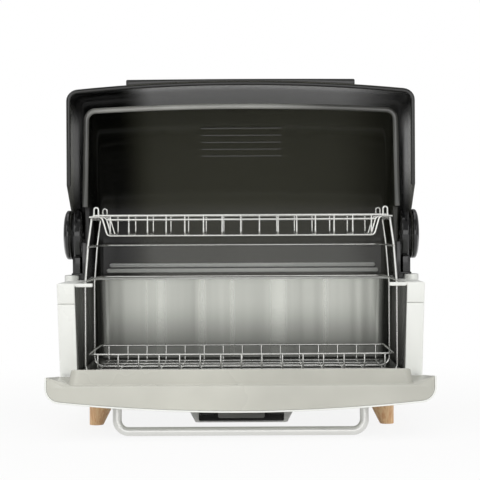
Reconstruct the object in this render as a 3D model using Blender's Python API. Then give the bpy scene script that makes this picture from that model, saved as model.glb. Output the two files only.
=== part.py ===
"""Counter-top electric dish dryer with two wire racks, a lift-up smoked lid and a fold-down front door.

Metres, +Z up, +Y to the back. The origin is on the table, under the middle of the dryer with its lid and
door open. Every depth below is measured back from the front plane of the body, in the body_front empty.
"""

import math

import bmesh
import bpy
from mathutils import Matrix, Vector

# Fits
clearance = 0.0003
overrun = 0.01
pin_clearance = 0.0003

# Body
body_width = 0.498
body_taper = 0.005
body_depth = 0.350
body_foot_z = 0.042
body_seam_z = 0.168
body_rim_z = 0.196
body_corner_radius = 0.025
skin = 0.0025
wall_width = 0.024
rear_wall_width = 0.020
sill_z = 0.0645

# Hinge bosses on the upper frame
boss_rise = 0.007
boss_half_width = 0.0125
boss_half_length = 0.031
boss_bulge = 0.005

# Tub liner
liner_wall = 0.0012
liner_rim_drop = 0.004
liner_lip = 0.006
liner_corner_radius = 0.018

# Warm air grille in the tub floor
grille_half_width = 0.080
grille_depth = 0.056
grille_back_gap = 0.012
grille_flange = 0.004
grille_thickness = 0.0015
grille_slot_width = 0.004
grille_slot_pitch = 0.010

# Lid hinge
hub_y = 0.177
hub_rise = 0.058
hub_radius = 0.0355
bracket_gap = 0.0025
bracket_disc_width = 0.012
bracket_leg_width = 0.009
bracket_leg_length = 0.026
washer_radius = 0.030
lid_pin_radius = 0.005
hub_cap_width = 0.010
hub_cap_socket = 0.0045

# Lid, measured from its hinge axis with the lid closed
lid_inset = 0.003
lid_skin = 0.0025
lid_overhang = 0.035
lid_back_gap = 0.028
lid_rim_gap = 0.001
lid_curve_z = 0.030
lid_tail = 0.014
lid_cheek = 0.074
lid_edge_radius = 0.015
lid_bow = 0.008
lid_open_angle = math.radians(90)
grip_inset = 0.0845
grip_reach = 0.008
grip_height = 0.005

# Fixed rear cover, measured from the hinge axis
cover_gap = 0.002
cover_top_drop = 0.014
cover_back_gap = 0.001
cover_curve_drop = 0.010
cover_edge_radius = 0.013
cover_slot_height = 0.003
cover_slot_pitch = 0.010
cover_slot_width = 0.120
cover_slot_rise = 0.159
cover_slot_count = 5
trim_band = 0.008
trim_depth = 0.0042
rear_sill_gap = 0.0095
rear_sill_depth = 0.008
rear_sill_height = 0.011
rear_sill_rise = 0.018

# Door, measured from its hinge axis with the door folded flat
door_axis_y = -0.006
door_axis_rise = 0.0015
door_end = 0.0035
door_rim = 0.0035
door_reach = 0.129
door_inset = 0.004
door_flare = 0.005
door_side_height = 0.0125
door_corner_radius = 0.0195
door_bow = 0.010
door_droop = math.radians(4)
door_beam = 0.018
lug_inset = 0.0135
lug_width = 0.008
lug_radius = 0.0042
lug_side_gap = 0.001
lug_notch = 0.0065
door_pin_radius = 0.002
door_pin_length = 0.0185

# Door liner
door_liner_skin = 0.0015
door_liner_inset = 0.0005
door_liner_slope = 0.026
door_liner_drop = 0.012
plateau_wall = 0.002
plateau_rise = 0.010
plateau_edge = 0.004
plateau_corner_radius = 0.014
door_liner_corner_radius = 0.003

# Door handle
handle_inset = 0.080
handle_radius = 0.006
handle_bend_radius = 0.016
handle_reach = 0.101
handle_drop = 0.0687
handle_seat = 0.0008
screw_radius = 0.002
screw_head_radius = 0.004
screw_head_height = 0.0025
handle_screw_length = 0.012

# Feet
foot_side_inset = 0.0345
foot_tip_radius = 0.0095
foot_top_radius = 0.020
foot_inset = 0.050
foot_screw_length = 0.016

# Control pod under the front
pod_bottom_z = 0.009
pod_bottom_width = 0.120
pod_side_slope = 0.55
pod_front_bottom = -0.002
pod_front_top = 0.010
pod_back = 0.215
pod_margin = 0.012
panel_width = 0.115
panel_height = 0.025
panel_thickness = 0.002
window_width = 0.063
window_height = 0.018
window_thickness = 0.0009
button_width = 0.020
button_height = 0.016
button_x = 0.0465
button_proud = 0.002
button_travel = 0.0015
board_depth = 0.0075
board_width = 0.108
board_height = 0.020
board_thickness = 0.0016
board_boss_radius = 0.003
board_boss_x = 0.020
switch_size = 0.006
switch_height = 0.0035

# Fan, heater and inlet
fan_y = 0.120
motor_radius = 0.019
motor_height = 0.0145
shaft_radius = 0.002
shaft_height = 0.018
impeller_radius = 0.042
impeller_hub_radius = 0.008
impeller_height = 0.0172
impeller_disc = 0.0015
impeller_gap = 0.0008
blade_thickness = 0.0015
blade_start = 0.018
blade_count = 9
shroud_radius = 0.047
shroud_wall = 0.0015
shroud_height = 0.038
vent_slot_width = 0.003
vent_slot_pitch = 0.008
vent_slot_length = 0.030
vent_slot_count = 8
heater_width = 0.120
heater_depth = 0.050
heater_height = 0.0155
heater_slot_width = 0.006
heater_slot_pitch = 0.012
thermostat_radius = 0.008
thermostat_height = 0.006
thermostat_gap = 0.005
inlet_inset = 0.069
inlet_rise = 0.013
inlet_radius = 0.0057
inlet_bore = 0.0035
inlet_flange_radius = 0.010
inlet_flange = 0.004

# Drip tray
tray_gap = 0.0035
tray_front = 0.012
tray_grille_gap = 0.010
tray_height = 0.012
tray_skin = 0.0015
tray_corner_radius = 0.012

# Racks
frame_wire = 0.0019
basket_wire = 0.0015
rim_wire = 0.0019
near_y = 0.050
rack_back_gap = 0.054
upright_gap = 0.005
upright_bend_drop = 0.006
waist_lean = 0.003
waist_rise = 0.052
top_lean = 0.005
top_rise = 0.087
rail_tip = 0.003
guard_high_rise = 0.049
guard_low_rise = 0.002
guard_gap = 0.043
guard_bend_radius = 0.020
frame_bend_radius = 0.012
weld_sink = 0.0008
lower_rim_rise = 0.0292
lower_side_gap = 0.011
lower_front = 0.044
lower_front_bow = 0.008
lower_back_gap = 0.012
lower_pitch = 0.029
lower_margin = 0.012
lower_cross_count = 4
basket_bend_radius = 0.006
rim_bend_radius = 0.015
upper_depth = 0.023
upper_rim_inset = 0.005
upper_top_inset = 0.015
upper_bottom_inset = 0.024
upper_tip = 0.003
upper_pitch = 0.026
upper_margin = 0.004
upper_cross_count = 5
upper_second_rim = 0.0057
hook_rise = 0.016
hook_inset = 0.0115
hook_width = 0.008

# Facets
corner_steps = 4
bend_steps = 2
curve_steps = 12
bow_steps = 8
round_sides = 24
wire_sides = 6
basket_sides = 4
handle_sides = 12
smooth_angle = math.radians(35)

# Body places worked out from the sizes above
body_half = body_width / 2
opening_half = body_half - wall_width
opening_back = body_depth - rear_wall_width
base_floor_z = body_foot_z + skin
boss_outer_x = body_half + boss_bulge
boss_top_z = body_rim_z + boss_rise
foot_outer_x = body_half - body_taper - foot_side_inset
inlet_x = body_half - inlet_inset
inlet_z = body_foot_z + inlet_rise
pod_top_z = body_foot_z - clearance
pod_floor_z = pod_bottom_z + skin

# Tub and tray places
liner_half = opening_half - clearance
liner_back = opening_back - clearance
liner_top_z = body_rim_z - liner_rim_drop
floor_z = sill_z + clearance + liner_wall
grille_back = opening_back - grille_back_gap
grille_front = grille_back - grille_depth
tray_half = liner_half - liner_wall - tray_gap
tray_back = grille_front - tray_grille_gap
tray_z = floor_z + clearance
tray_floor_z = tray_z + tray_skin

# Lid and rear cover places
cover_reach = body_depth - hub_y - cover_back_gap
lid_height = cover_reach + lid_back_gap
hub_z = boss_top_z + hub_rise
lid_half = body_half - lid_inset
lid_front = hub_y + lid_overhang
lid_rim_drop = hub_z - body_rim_z - lid_rim_gap
lid_back = hub_y + lid_height
grip_half = lid_half - grip_inset
bracket_disc_x = lid_half - lid_skin - bracket_gap - bracket_disc_width
cover_half = bracket_disc_x - cover_gap
cover_height = lid_height - cover_top_drop
cover_slot_top_z = hub_z + cover_slot_rise
rear_sill_half = cover_half - skin - rear_sill_gap
rear_sill_z = body_rim_z + rear_sill_rise

# Door places
door_half = body_half - door_inset
door_axis_z = sill_z + door_axis_rise
door_depth = door_side_height + door_corner_radius
door_hang = door_depth + door_bow - door_rim
door_front = door_axis_y - door_reach * math.cos(door_droop) - door_hang * math.sin(door_droop)
lug_x = door_half - lug_inset
handle_half = door_half - handle_inset

# Rack places
far_y = tray_back - rack_back_gap
upright_foot_x = tray_half - upright_gap
upright_waist_x = upright_foot_x - waist_lean
upright_top_x = upright_foot_x - top_lean
upright_bend_z = body_rim_z - upright_bend_drop
upright_waist_z = body_rim_z + waist_rise
upright_top_z = body_rim_z + top_rise
guard_high_z = body_rim_z + guard_high_rise
guard_low_z = body_rim_z + guard_low_rise
guard_back = opening_back - guard_gap
lower_half_width = upright_foot_x - lower_side_gap
lower_back = tray_back - lower_back_gap
lower_rim_z = tray_floor_z + lower_rim_rise
upper_bottom_z = upright_top_z - upper_depth
upper_half_width = upright_top_x - upper_rim_inset
upper_top_half = upright_top_x - upper_top_inset
upper_bottom_half = upright_top_x - upper_bottom_inset
hook_top_z = upright_top_z + hook_rise
hook_x = upright_top_x - hook_inset

# The middle of the opened dryer stands over the origin
body_front_y = -(door_front + lid_back) / 2


def finish(name, colour, roughness, metallic=0.0, alpha=1.0):
    """A Principled material with the piece's own colour."""
    material = bpy.data.materials.new(name)
    material.use_nodes = True
    shader = material.node_tree.nodes["Principled BSDF"]
    shader.inputs["Base Color"].default_value = (*colour, 1.0)
    shader.inputs["Roughness"].default_value = roughness
    shader.inputs["Metallic"].default_value = metallic
    shader.inputs["Alpha"].default_value = alpha
    material.diffuse_color = (*colour, alpha)
    return material


def empty(name, place, turn_x=0.0, parent=None):
    """An empty that carries pieces, on a joint's axis or at a reference plane."""
    carrier = bpy.data.objects.new(name, None)
    bpy.context.scene.collection.objects.link(carrier)
    carrier.parent = parent
    carrier.location = place
    carrier.rotation_euler.x = turn_x
    return carrier


def add(name, bm, material, parent, place=(0, 0, 0), turn_x=0.0):
    """Make a named object from a bmesh, with its faces pointing out."""
    bmesh.ops.recalc_face_normals(bm, faces=bm.faces)
    mesh = bpy.data.meshes.new(name)
    bm.to_mesh(mesh)
    bm.free()
    mesh.shade_smooth()
    mesh.set_sharp_from_angle(angle=smooth_angle)
    mesh.materials.append(material)
    piece = bpy.data.objects.new(name, mesh)
    bpy.context.scene.collection.objects.link(piece)
    piece.parent = parent
    piece.location = place
    piece.rotation_euler.x = turn_x
    return piece


def combine(piece, operation, bm):
    """Cut, join or intersect a piece with a shape given in the piece's own frame."""
    tool = add(f"{piece.name}_{operation.lower()}", bm, piece.data.materials[0], piece)
    tool.hide_render = True
    tool.display_type = "WIRE"
    modifier = piece.modifiers.new(operation.title(), "BOOLEAN")
    modifier.operation = operation
    modifier.solver = "EXACT"
    modifier.object = tool
    return piece


def several(shapes):
    """Put several bmeshes into one."""
    whole = bmesh.new()
    for shape in shapes:
        bmesh.ops.recalc_face_normals(shape, faces=shape.faces)
        mesh = bpy.data.meshes.new("shape")
        shape.to_mesh(mesh)
        shape.free()
        whole.from_mesh(mesh)
        bpy.data.meshes.remove(mesh)
    return whole


def prism(outline, low, high, axis="Z"):
    """Extrude an outline along an axis: (x, y) along Z, (x, z) along Y, or (y, z) along X."""
    order = {
        "X": lambda u, v, w: Vector((w, u, v)),
        "Y": lambda u, v, w: Vector((u, w, v)),
        "Z": lambda u, v, w: Vector((u, v, w)),
    }[axis]
    bm = bmesh.new()
    face = bm.faces.new([bm.verts.new(order(u, v, low)) for u, v in outline])
    grown = bmesh.ops.extrude_face_region(bm, geom=[face])["geom"]
    verts = [item for item in grown if isinstance(item, bmesh.types.BMVert)]
    bmesh.ops.translate(bm, verts=verts, vec=order(0, 0, high - low))
    return bm


def box(x_range, y_range, z_range):
    """A box from its three ranges."""
    (left, right), (front, back) = x_range, y_range
    return prism([(left, front), (right, front), (right, back), (left, back)], *z_range)


def arc(centre, radii, start, end, steps):
    """Points along an elliptical arc, with its angles in degrees."""
    turns = [math.radians(start + (end - start) * step / steps) for step in range(steps + 1)]
    return [(centre[0] + radii[0] * math.cos(turn), centre[1] + radii[1] * math.sin(turn)) for turn in turns]


def circle(centre, radius, sides=round_sides):
    """A closed round outline."""
    return arc(centre, (radius, radius), 0, 360, sides)[:-1]


def rounded(half_u, low_v, high_v, radius, steps=corner_steps):
    """A rectangle with four round corners, centred on u."""
    radius = min(radius, half_u, (high_v - low_v) / 2)
    corners = [(half_u, low_v, -90), (half_u, high_v, 0), (-half_u, high_v, 90), (-half_u, low_v, 180)]
    outline = []
    for u, v, start in corners:
        centre = (u - math.copysign(radius, u), v + (radius if v == low_v else -radius))
        outline += arc(centre, (radius, radius), start, start + 90, steps)
    return outline


def plan(half_width, front, back, radius):
    """The body's plan: square in front, with round corners at the back."""
    right = arc((half_width - radius, back - radius), (radius, radius), 0, 90, corner_steps)
    left = arc((radius - half_width, back - radius), (radius, radius), 90, 180, corner_steps)
    return [(-half_width, front), (half_width, front), *right, *left]


def turned(outline, steps=round_sides):
    """Turn a closed (radius, z) outline about the Z axis into a ring."""
    bm = bmesh.new()
    rings = []
    for step in range(steps):
        turn = math.tau * step / steps
        rings.append([bm.verts.new((r * math.cos(turn), r * math.sin(turn), z)) for r, z in outline])
    count = len(outline)
    for step, ring in enumerate(rings):
        after = rings[(step + 1) % steps]
        for i in range(count):
            j = (i + 1) % count
            bm.faces.new((ring[i], ring[j], after[j], after[i]))
    return bm


def rounded_path(corners, radius, steps=bend_steps, closed=False):
    """Straight runs through the corners, each corner turned with an arc."""
    corners = [Vector(corner) for corner in corners]
    count = len(corners)
    path = []
    for i, corner in enumerate(corners):
        if not closed and i in (0, count - 1):
            path.append(corner)
            continue
        arriving = corner - corners[i - 1]
        leaving = corners[(i + 1) % count] - corner
        turn = arriving.angle(leaving)
        run = min(radius * math.tan(turn / 2), arriving.length / 2, leaving.length / 2)
        start = corner - arriving.normalized() * run
        normal = arriving.cross(leaving).normalized()
        inward = normal.cross(arriving).normalized()
        centre = start + inward * (run / math.tan(turn / 2))
        for step in range(steps + 1):
            point = centre + Matrix.Rotation(turn * step / steps, 3, normal) @ (start - centre)
            if not path or (point - path[-1]).length > clearance:
                path.append(point)
    return path


def tube(path, radius, up, sides=wire_sides, closed=False):
    """A round tube along a flat path, where up is square to the path's plane."""
    path = [Vector(point) for point in path]
    up = Vector(up).normalized()
    bm = bmesh.new()
    count = len(path)
    rings = []
    for i, point in enumerate(path):
        before = path[i - 1] if i or closed else point
        after = path[(i + 1) % count] if i < count - 1 or closed else point
        side = (after - before).normalized().cross(up).normalized()
        turns = [math.tau * k / sides for k in range(sides)]
        rings.append([bm.verts.new(point + (up * math.cos(t) + side * math.sin(t)) * radius) for t in turns])
    pairs = list(zip(rings, rings[1:]))
    if closed:
        pairs.append((rings[-1], rings[0]))
    else:
        bm.faces.new(rings[0])
        bm.faces.new(rings[-1])
    for ring, after in pairs:
        for k in range(sides):
            j = (k + 1) % sides
            bm.faces.new((ring[k], ring[j], after[j], after[k]))
    return bm


def spread(low, high, count):
    """Evenly spaced places from low to high."""
    return [low + (high - low) * i / (count - 1) for i in range(count)]


def pattern(half, pitch):
    """Places of a centred pattern with about this pitch, out to half on both sides."""
    return spread(-half, half, max(2, round(2 * half / pitch) + 1))


def narrow_downwards(bm):
    """Draw the body's sides in towards its foot."""
    slope = body_taper / (body_rim_z - body_foot_z)
    for vert in bm.verts:
        share = abs(vert.co.x) / body_half
        vert.co.x -= math.copysign(slope * (body_rim_z - vert.co.z) * share, vert.co.x)
    return bm


def build_housing(body, white):
    """The moulded bucket: sides, back, bottom and the low front sill under the door opening."""
    outer = plan(body_half, 0, body_depth, body_corner_radius)
    housing = add("lower_housing", narrow_downwards(prism(outer, body_foot_z, body_seam_z)), white, body)
    inner = plan(body_half - skin, skin, body_depth - skin, body_corner_radius - skin)
    combine(housing, "DIFFERENCE", narrow_downwards(prism(inner, base_floor_z, body_seam_z + overrun)))
    doorway = box((-opening_half, opening_half), (-overrun, skin + overrun), (sill_z, body_seam_z + overrun))
    combine(housing, "DIFFERENCE", doorway)
    pod_half = pod_bottom_width / 2 - pod_margin / 2
    hole_y = (2 * pod_margin, pod_back - pod_margin)
    pod_hole = box((-pod_half, pod_half), hole_y, (0, base_floor_z + overrun))
    holes = [pod_hole]
    for x, y in foot_places():
        holes.append(prism(circle((x, y), screw_radius + pin_clearance), 0, base_floor_z + overrun))
    inlet = circle((inlet_x, inlet_z), inlet_radius + clearance)
    holes.append(prism(inlet, body_depth - skin - overrun / 2, body_depth + overrun, "Y"))
    combine(housing, "DIFFERENCE", several(holes))


def build_frame(body, white):
    """The cap above the seam: a hollow channel round three sides, with a boss under each lid hinge."""
    low = body_seam_z + clearance
    outer = narrow_downwards(prism(plan(body_half, 0, body_depth, body_corner_radius), low, body_rim_z))
    frame = add("upper_frame", outer, white, body)
    bosses = []
    for side in (-1, 1):
        centre = (side * (boss_outer_x - boss_half_width), hub_y)
        bosses.append(prism(circle(centre, 1), low, boss_top_z))
        stretch = Matrix.Diagonal((boss_half_width, boss_half_length, 1, 1))
        about = Matrix.Translation((*centre, 0))
        bosses[-1].transform(about @ stretch @ about.inverted())
    combine(frame, "UNION", several(bosses))
    channel = plan(body_half - skin, skin, body_depth - skin, body_corner_radius - skin)
    combine(frame, "DIFFERENCE", narrow_downwards(prism(channel, 0, body_rim_z - skin)))
    inner_skin = plan(opening_half + skin, 0, opening_back + skin, liner_corner_radius + skin)
    combine(frame, "UNION", prism(inner_skin, low, body_rim_z - skin / 2))
    opening = plan(opening_half, -overrun, opening_back, liner_corner_radius)
    combine(frame, "DIFFERENCE", prism(opening, 0, boss_top_z + overrun))


def build_liner(body, steel, black):
    """The tub: floor with a front lip, two sides and a back, and the warm air grille in its floor."""
    bottom = sill_z + clearance
    outer = plan(liner_half, clearance, liner_back, liner_corner_radius - clearance)
    liner = add("tub_liner", prism(outer, bottom, liner_top_z), steel, body)
    inner_half, inner_radius = liner_half - liner_wall, liner_corner_radius - liner_wall
    inner = plan(inner_half, clearance + liner_wall, liner_back - liner_wall, inner_radius)
    combine(liner, "DIFFERENCE", prism(inner, floor_z, liner_top_z + overrun))
    doorway_z = (floor_z + liner_lip, liner_top_z + overrun)
    combine(liner, "DIFFERENCE", box((-inner_half, inner_half), (-overrun, overrun), doorway_z))
    hole_x, hole_y = (-grille_half_width, grille_half_width), (grille_front, grille_back)
    combine(liner, "DIFFERENCE", box(hole_x, hole_y, (0, floor_z + overrun)))
    plate_half = grille_half_width + grille_flange
    plate = rounded(plate_half, grille_front - grille_flange, grille_back + grille_flange, grille_flange)
    grille = add("air_grille", prism(plate, tray_z, tray_z + grille_thickness), black, body)
    slots = []
    for x in pattern(grille_half_width - grille_slot_pitch, grille_slot_pitch):
        ends = (grille_front + grille_flange, grille_back - grille_flange)
        slots.append(box((x - grille_slot_width / 2, x + grille_slot_width / 2), ends, (0, hub_z)))
    combine(grille, "DIFFERENCE", several(slots))


def hood(name, half_width, outer, inner, skin_width, roof, edge_radius, material, parent, bow=None):
    """A hollow hood across X: its first roof points in each outline get round edges at both ends.

    With bow, a function of a point, its front is set back by what that gives.
    """

    def solid(outline, half, radius):
        bm = prism(outline, -half, half, "X")
        chain = [Vector(point) for point in outline[:roof]]

        def on_roof(vert):
            return any((vert.co.yz - point).length < clearance for point in chain)

        lengthwise = [edge for edge in bm.edges if abs(edge.verts[0].co.x - edge.verts[1].co.x) > half]
        ends = [edge for edge in bm.edges if edge not in lengthwise and all(map(on_roof, edge.verts))]
        bmesh.ops.bevel(bm, geom=ends, offset=radius, segments=corner_steps, affect="EDGES", profile=0.5)
        if bow:
            across = [edge for edge in bm.edges if abs(edge.verts[0].co.x - edge.verts[1].co.x) > half]
            bmesh.ops.subdivide_edges(bm, edges=across, cuts=bow_steps - 1, use_grid_fill=True)
            for vert in bm.verts:
                vert.co.y += bow(vert.co)
        return bm

    piece = add(name, solid(outer, half_width, edge_radius), material, parent)
    combine(piece, "DIFFERENCE", solid(inner, half_width - skin_width, edge_radius - skin_width))
    return piece


def build_lid(body, smoked, black, steel):
    """The lifting lid with its grip, hub caps and hinge parts, drawn closed and turned open."""
    lid = empty("lid_axis", (0, hub_y, hub_z), -lid_open_angle, body)
    rise = lid_height - lid_curve_z
    dome = arc((0, lid_curve_z), (lid_front, rise), 180, 90, curve_steps)
    roof = [(-lid_front, -lid_rim_drop), *dome, (lid_tail, lid_height)]
    cheek = arc((0, 0), (hub_radius, hub_radius), 50, -180, curve_steps)
    outer = [*roof, *cheek, (-lid_cheek, -lid_rim_drop)]
    inner_front, inner_rise = lid_front - lid_skin, rise - lid_skin
    inner_top = lid_curve_z + inner_rise
    below = -lid_rim_drop - overrun
    inner_dome = arc((0, lid_curve_z), (inner_front, inner_rise), 180, 90, curve_steps)
    inner_roof = [(-inner_front, below), *inner_dome, (lid_tail + overrun, inner_top)]
    beyond = hub_radius + overrun
    inner = [*inner_roof, (beyond, inner_top), (beyond, below)]

    def bow(point):
        forward = max(0.0, -point.y / lid_front)
        return lid_bow * forward * (point.x / lid_half) ** 2

    shell = hood("lid_shell", lid_half, outer, inner, lid_skin, len(roof), lid_edge_radius, smoked, lid, bow)
    bore = circle((0, 0), lid_pin_radius + pin_clearance)
    combine(shell, "DIFFERENCE", prism(bore, -lid_half - overrun, lid_half + overrun, "X"))

    def front_at(x, gap):
        return -lid_front - gap + lid_bow * (x / lid_half) ** 2

    places = spread(-grip_half, grip_half, bow_steps + 1)
    grip_outline = [(x, front_at(x, grip_reach)) for x in places]
    grip_outline += [(x, front_at(x, clearance * 2)) for x in reversed(places)]
    add("lid_grip", prism(grip_outline, -lid_rim_drop, grip_height - lid_rim_drop), smoked, lid)

    washer_x = bracket_disc_x + bracket_disc_width + clearance
    wall_x = lid_half - lid_skin
    cap_x = lid_half + clearance
    pin_start = cover_half + 2 * clearance
    for side, sign in (("left", -1), ("right", 1)):
        bearing = circle((hub_y, hub_z), lid_pin_radius + pin_clearance)

        def span(start, end, sign=sign):
            return sorted((sign * start, sign * end))

        disc_x = span(bracket_disc_x, bracket_disc_x + bracket_disc_width)
        disc = prism(circle((hub_y, hub_z), hub_radius), *disc_x, "X")
        bracket = add(f"{side}_hinge_bracket", disc, black, body)
        leg_middle = bracket_disc_x + bracket_disc_width / 2
        leg = box(
            span(leg_middle - bracket_leg_width / 2, leg_middle + bracket_leg_width / 2),
            (hub_y - bracket_leg_length / 2, hub_y + bracket_leg_length / 2),
            (boss_top_z + clearance, hub_z - hub_radius / 2),
        )
        combine(bracket, "UNION", leg)
        combine(bracket, "DIFFERENCE", prism(bearing, *span(bracket_disc_x - overrun / 2, lid_half), "X"))
        pin = prism(circle((hub_y, hub_z), lid_pin_radius), *span(pin_start, cap_x + hub_cap_socket), "X")
        add(f"{side}_lid_pin", pin, steel, body)
        washer = prism(circle((hub_y, hub_z), washer_radius), *span(washer_x, wall_x - clearance), "X")
        ring = add(f"{side}_hinge_washer", washer, black, body)
        combine(ring, "DIFFERENCE", prism(bearing, *span(bracket_disc_x, lid_half), "X"))
        cap = prism(circle((0, 0), hub_radius), *span(cap_x, cap_x + hub_cap_width), "X")
        cover = add(f"{side}_hub_cap", cap, black, lid)
        socket = span(lid_half - lid_skin, cap_x + hub_cap_socket + clearance)
        combine(cover, "DIFFERENCE", prism(bore, *socket, "X"))


def build_cover(body, smoked, grey):
    """The fixed smoked cover behind the hinge line, its grey front band and the bar low at its back."""
    middle = empty("cover_middle", (0, hub_y, hub_z), 0.0, body)
    foot = body_rim_z + clearance - hub_z
    rise = cover_height + cover_curve_drop
    curve = arc((0, -cover_curve_drop), (cover_reach, rise), 90, 0, curve_steps)[1:]
    outer = [(0, cover_height), *curve, (cover_reach, foot), (0, foot)]
    inner_curve = arc((0, -cover_curve_drop), (cover_reach - skin, rise - skin), 90, 0, curve_steps)
    low = foot - overrun
    inner = [(-overrun, cover_height - skin), *inner_curve, (cover_reach - skin, low), (-overrun, low)]
    cover = hood(
        "rear_cover", cover_half, outer, inner, skin, len(curve) + 2, cover_edge_radius, smoked, middle
    )
    slots = []
    for i in range(cover_slot_count):
        top = cover_slot_top_z - hub_z - i * cover_slot_pitch
        half = cover_slot_width / 2
        slot_y, slot_z = (cover_reach / 4, cover_reach + overrun), (top - cover_slot_height, top)
        slots.append(box((-half, half), slot_y, slot_z))
    combine(cover, "DIFFERENCE", several(slots))

    band = add("cover_trim", trim_band_solid(foot, 0.0), grey, middle)
    combine(band, "DIFFERENCE", trim_band_solid(foot, trim_band))
    bar_back = cover_reach - skin - clearance
    bar = box(
        (-rear_sill_half, rear_sill_half),
        (bar_back - rear_sill_depth, bar_back),
        (rear_sill_z - hub_z, rear_sill_z - hub_z + rear_sill_height),
    )
    add("rear_sill", bar, grey, middle)


def trim_band_solid(foot, inset):
    """The arch of the cover's front, drawn in by inset; with an inset it is the cutter, open below."""
    half, top, radius = cover_half - inset, cover_height - inset, cover_edge_radius
    low = foot - overrun if inset else foot
    right = arc((half - radius, top - radius), (radius, radius), 0, 90, corner_steps)
    left = arc((radius - half, top - radius), (radius, radius), 90, 180, corner_steps)
    reach = overrun if inset else 0.0
    outline = [(-half, low), (half, low), *right, *left]
    return prism(outline, -clearance - trim_depth - reach, reach - clearance, "Y")


def door_profile(half, top, bottom_inset, steps=curve_steps):
    """The door's cross-section from its top edge, round a corner and along its bowed face."""
    radius = door_corner_radius
    foot = door_rim - door_side_height
    right = arc((half - radius, foot), (radius, radius - bottom_inset), 0, -90, corner_steps)
    bow = []
    reach = half - radius
    for x in spread(reach, -reach, steps + 1)[1:-1]:
        bow.append((x, foot - radius + bottom_inset - door_bow * (1 - (x / reach) ** 2)))
    left = [(-x, z) for x, z in reversed(right)]
    return [(-half, top), (half, top), *right, *bow, *left]


def door_depth_at(x):
    """How far the door's outer face lies below its hinge axis at this x."""
    reach = door_half - door_corner_radius
    return door_depth - door_rim + door_bow * (1 - (x / reach) ** 2)


def flare(bm):
    """Widen the door towards its free edge."""
    for vert in bm.verts:
        vert.co.x *= 1 + door_flare / door_half * (door_end - vert.co.y) / (door_reach + door_end)
    return bm


def build_door(body, white, grey, aluminium, steel, black):
    """The fold-down door with its liner, handle and hinge, drawn flat and turned by its droop."""
    door = empty("door_axis", (0, door_axis_y, door_axis_z), -door_droop, body)
    outside = prism(door_profile(door_half, door_rim, 0), -door_reach, door_end, "Y")
    shell = add("door_shell", flare(outside), white, door)
    inner_half = door_half - skin
    inner_front = skin - door_reach
    beam_back = door_end - door_beam
    deep = prism(door_profile(inner_half, door_rim + overrun, skin), inner_front, beam_back, "Y")
    combine(shell, "DIFFERENCE", flare(deep))
    low_part = door_profile(inner_half, door_rim - door_side_height, skin)[2:]
    combine(shell, "DIFFERENCE", flare(prism(low_part, beam_back - skin, door_end - skin, "Y")))
    cuts = []
    for sign in (-1, 1):
        notch_x = sorted((sign * (lug_x - lug_side_gap), sign * (lug_x + lug_width + lug_side_gap)))
        cuts.append(box(notch_x, (-lug_notch, overrun), (-lug_notch, overrun)))
    combine(shell, "DIFFERENCE", several(cuts))
    holes = []
    pin_start = lug_x + lug_width / 2 - door_pin_length / 2
    for sign in (-1, 1):
        ends = sorted((sign * (pin_start - clearance), sign * (pin_start + door_pin_length + clearance)))
        holes.append(prism(circle((0, 0), door_pin_radius + pin_clearance), *ends, "X"))
    handle_x = handle_half - handle_radius
    for sign in (-1, 1):
        hole = circle((sign * handle_x, -handle_reach), screw_radius + pin_clearance)
        holes.append(prism(hole, -door_depth_at(0) - overrun, -door_side_height - skin))
    combine(shell, "DIFFERENCE", several(holes))

    build_door_liner(door, grey, inner_half, inner_front, beam_back)
    build_handle(door, aluminium, steel, handle_x)
    for side, sign in (("left", -1), ("right", 1)):
        back = -door_axis_y - clearance
        nose = arc((0, 0), (lug_radius, lug_radius), 90, 270, curve_steps // 2)
        outline = [(back, -lug_radius), (back, lug_radius), *nose]
        ends = sorted((sign * lug_x, sign * (lug_x + lug_width)))
        place = (0, door_axis_y, door_axis_z)
        lug = add(f"{side}_door_lug", prism(outline, *ends, "X"), black, body, place)
        combine(lug, "DIFFERENCE", prism(circle((0, 0), door_pin_radius + pin_clearance), *wider(ends), "X"))
        pin_ends = sorted((sign * pin_start, sign * (pin_start + door_pin_length)))
        add(f"{side}_door_pin", prism(circle((0, 0), door_pin_radius), *pin_ends, "X"), steel, body, place)


def wider(ends):
    """A range with an overrun at both ends, for a cutter."""
    return ends[0] - overrun, ends[1] + overrun


def build_door_liner(door, grey, inner_half, inner_front, beam_back):
    """The pressed sheet inside the door: a sloped border round a raised flat field."""
    half = inner_half - clearance
    front, back = inner_front + clearance, beam_back - clearance
    edge_z = door_rim - door_liner_inset
    steps = [
        (0, edge_z, door_liner_corner_radius),
        (door_liner_slope, edge_z - door_liner_drop, plateau_corner_radius),
        (door_liner_slope + plateau_wall, door_rim + plateau_rise - plateau_wall, plateau_corner_radius),
        (door_liner_slope + plateau_edge, door_rim + plateau_rise, plateau_corner_radius),
    ]
    bm = bmesh.new()
    loops = []
    for inset, z, radius in steps:
        outline = rounded(half - inset, front + inset, back - inset, radius)
        loops.append([bm.verts.new((x, y, z)) for x, y in outline])
    for loop, after in zip(loops, loops[1:]):
        for i in range(len(loop)):
            j = (i + 1) % len(loop)
            bm.faces.new((loop[i], loop[j], after[j], after[i]))
    bm.faces.new(loops[-1])
    liner = add("door_liner", flare(bm), grey, door)
    sheet = liner.modifiers.new("Sheet", "SOLIDIFY")
    sheet.thickness = door_liner_skin
    sheet.offset = -1.0


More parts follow.
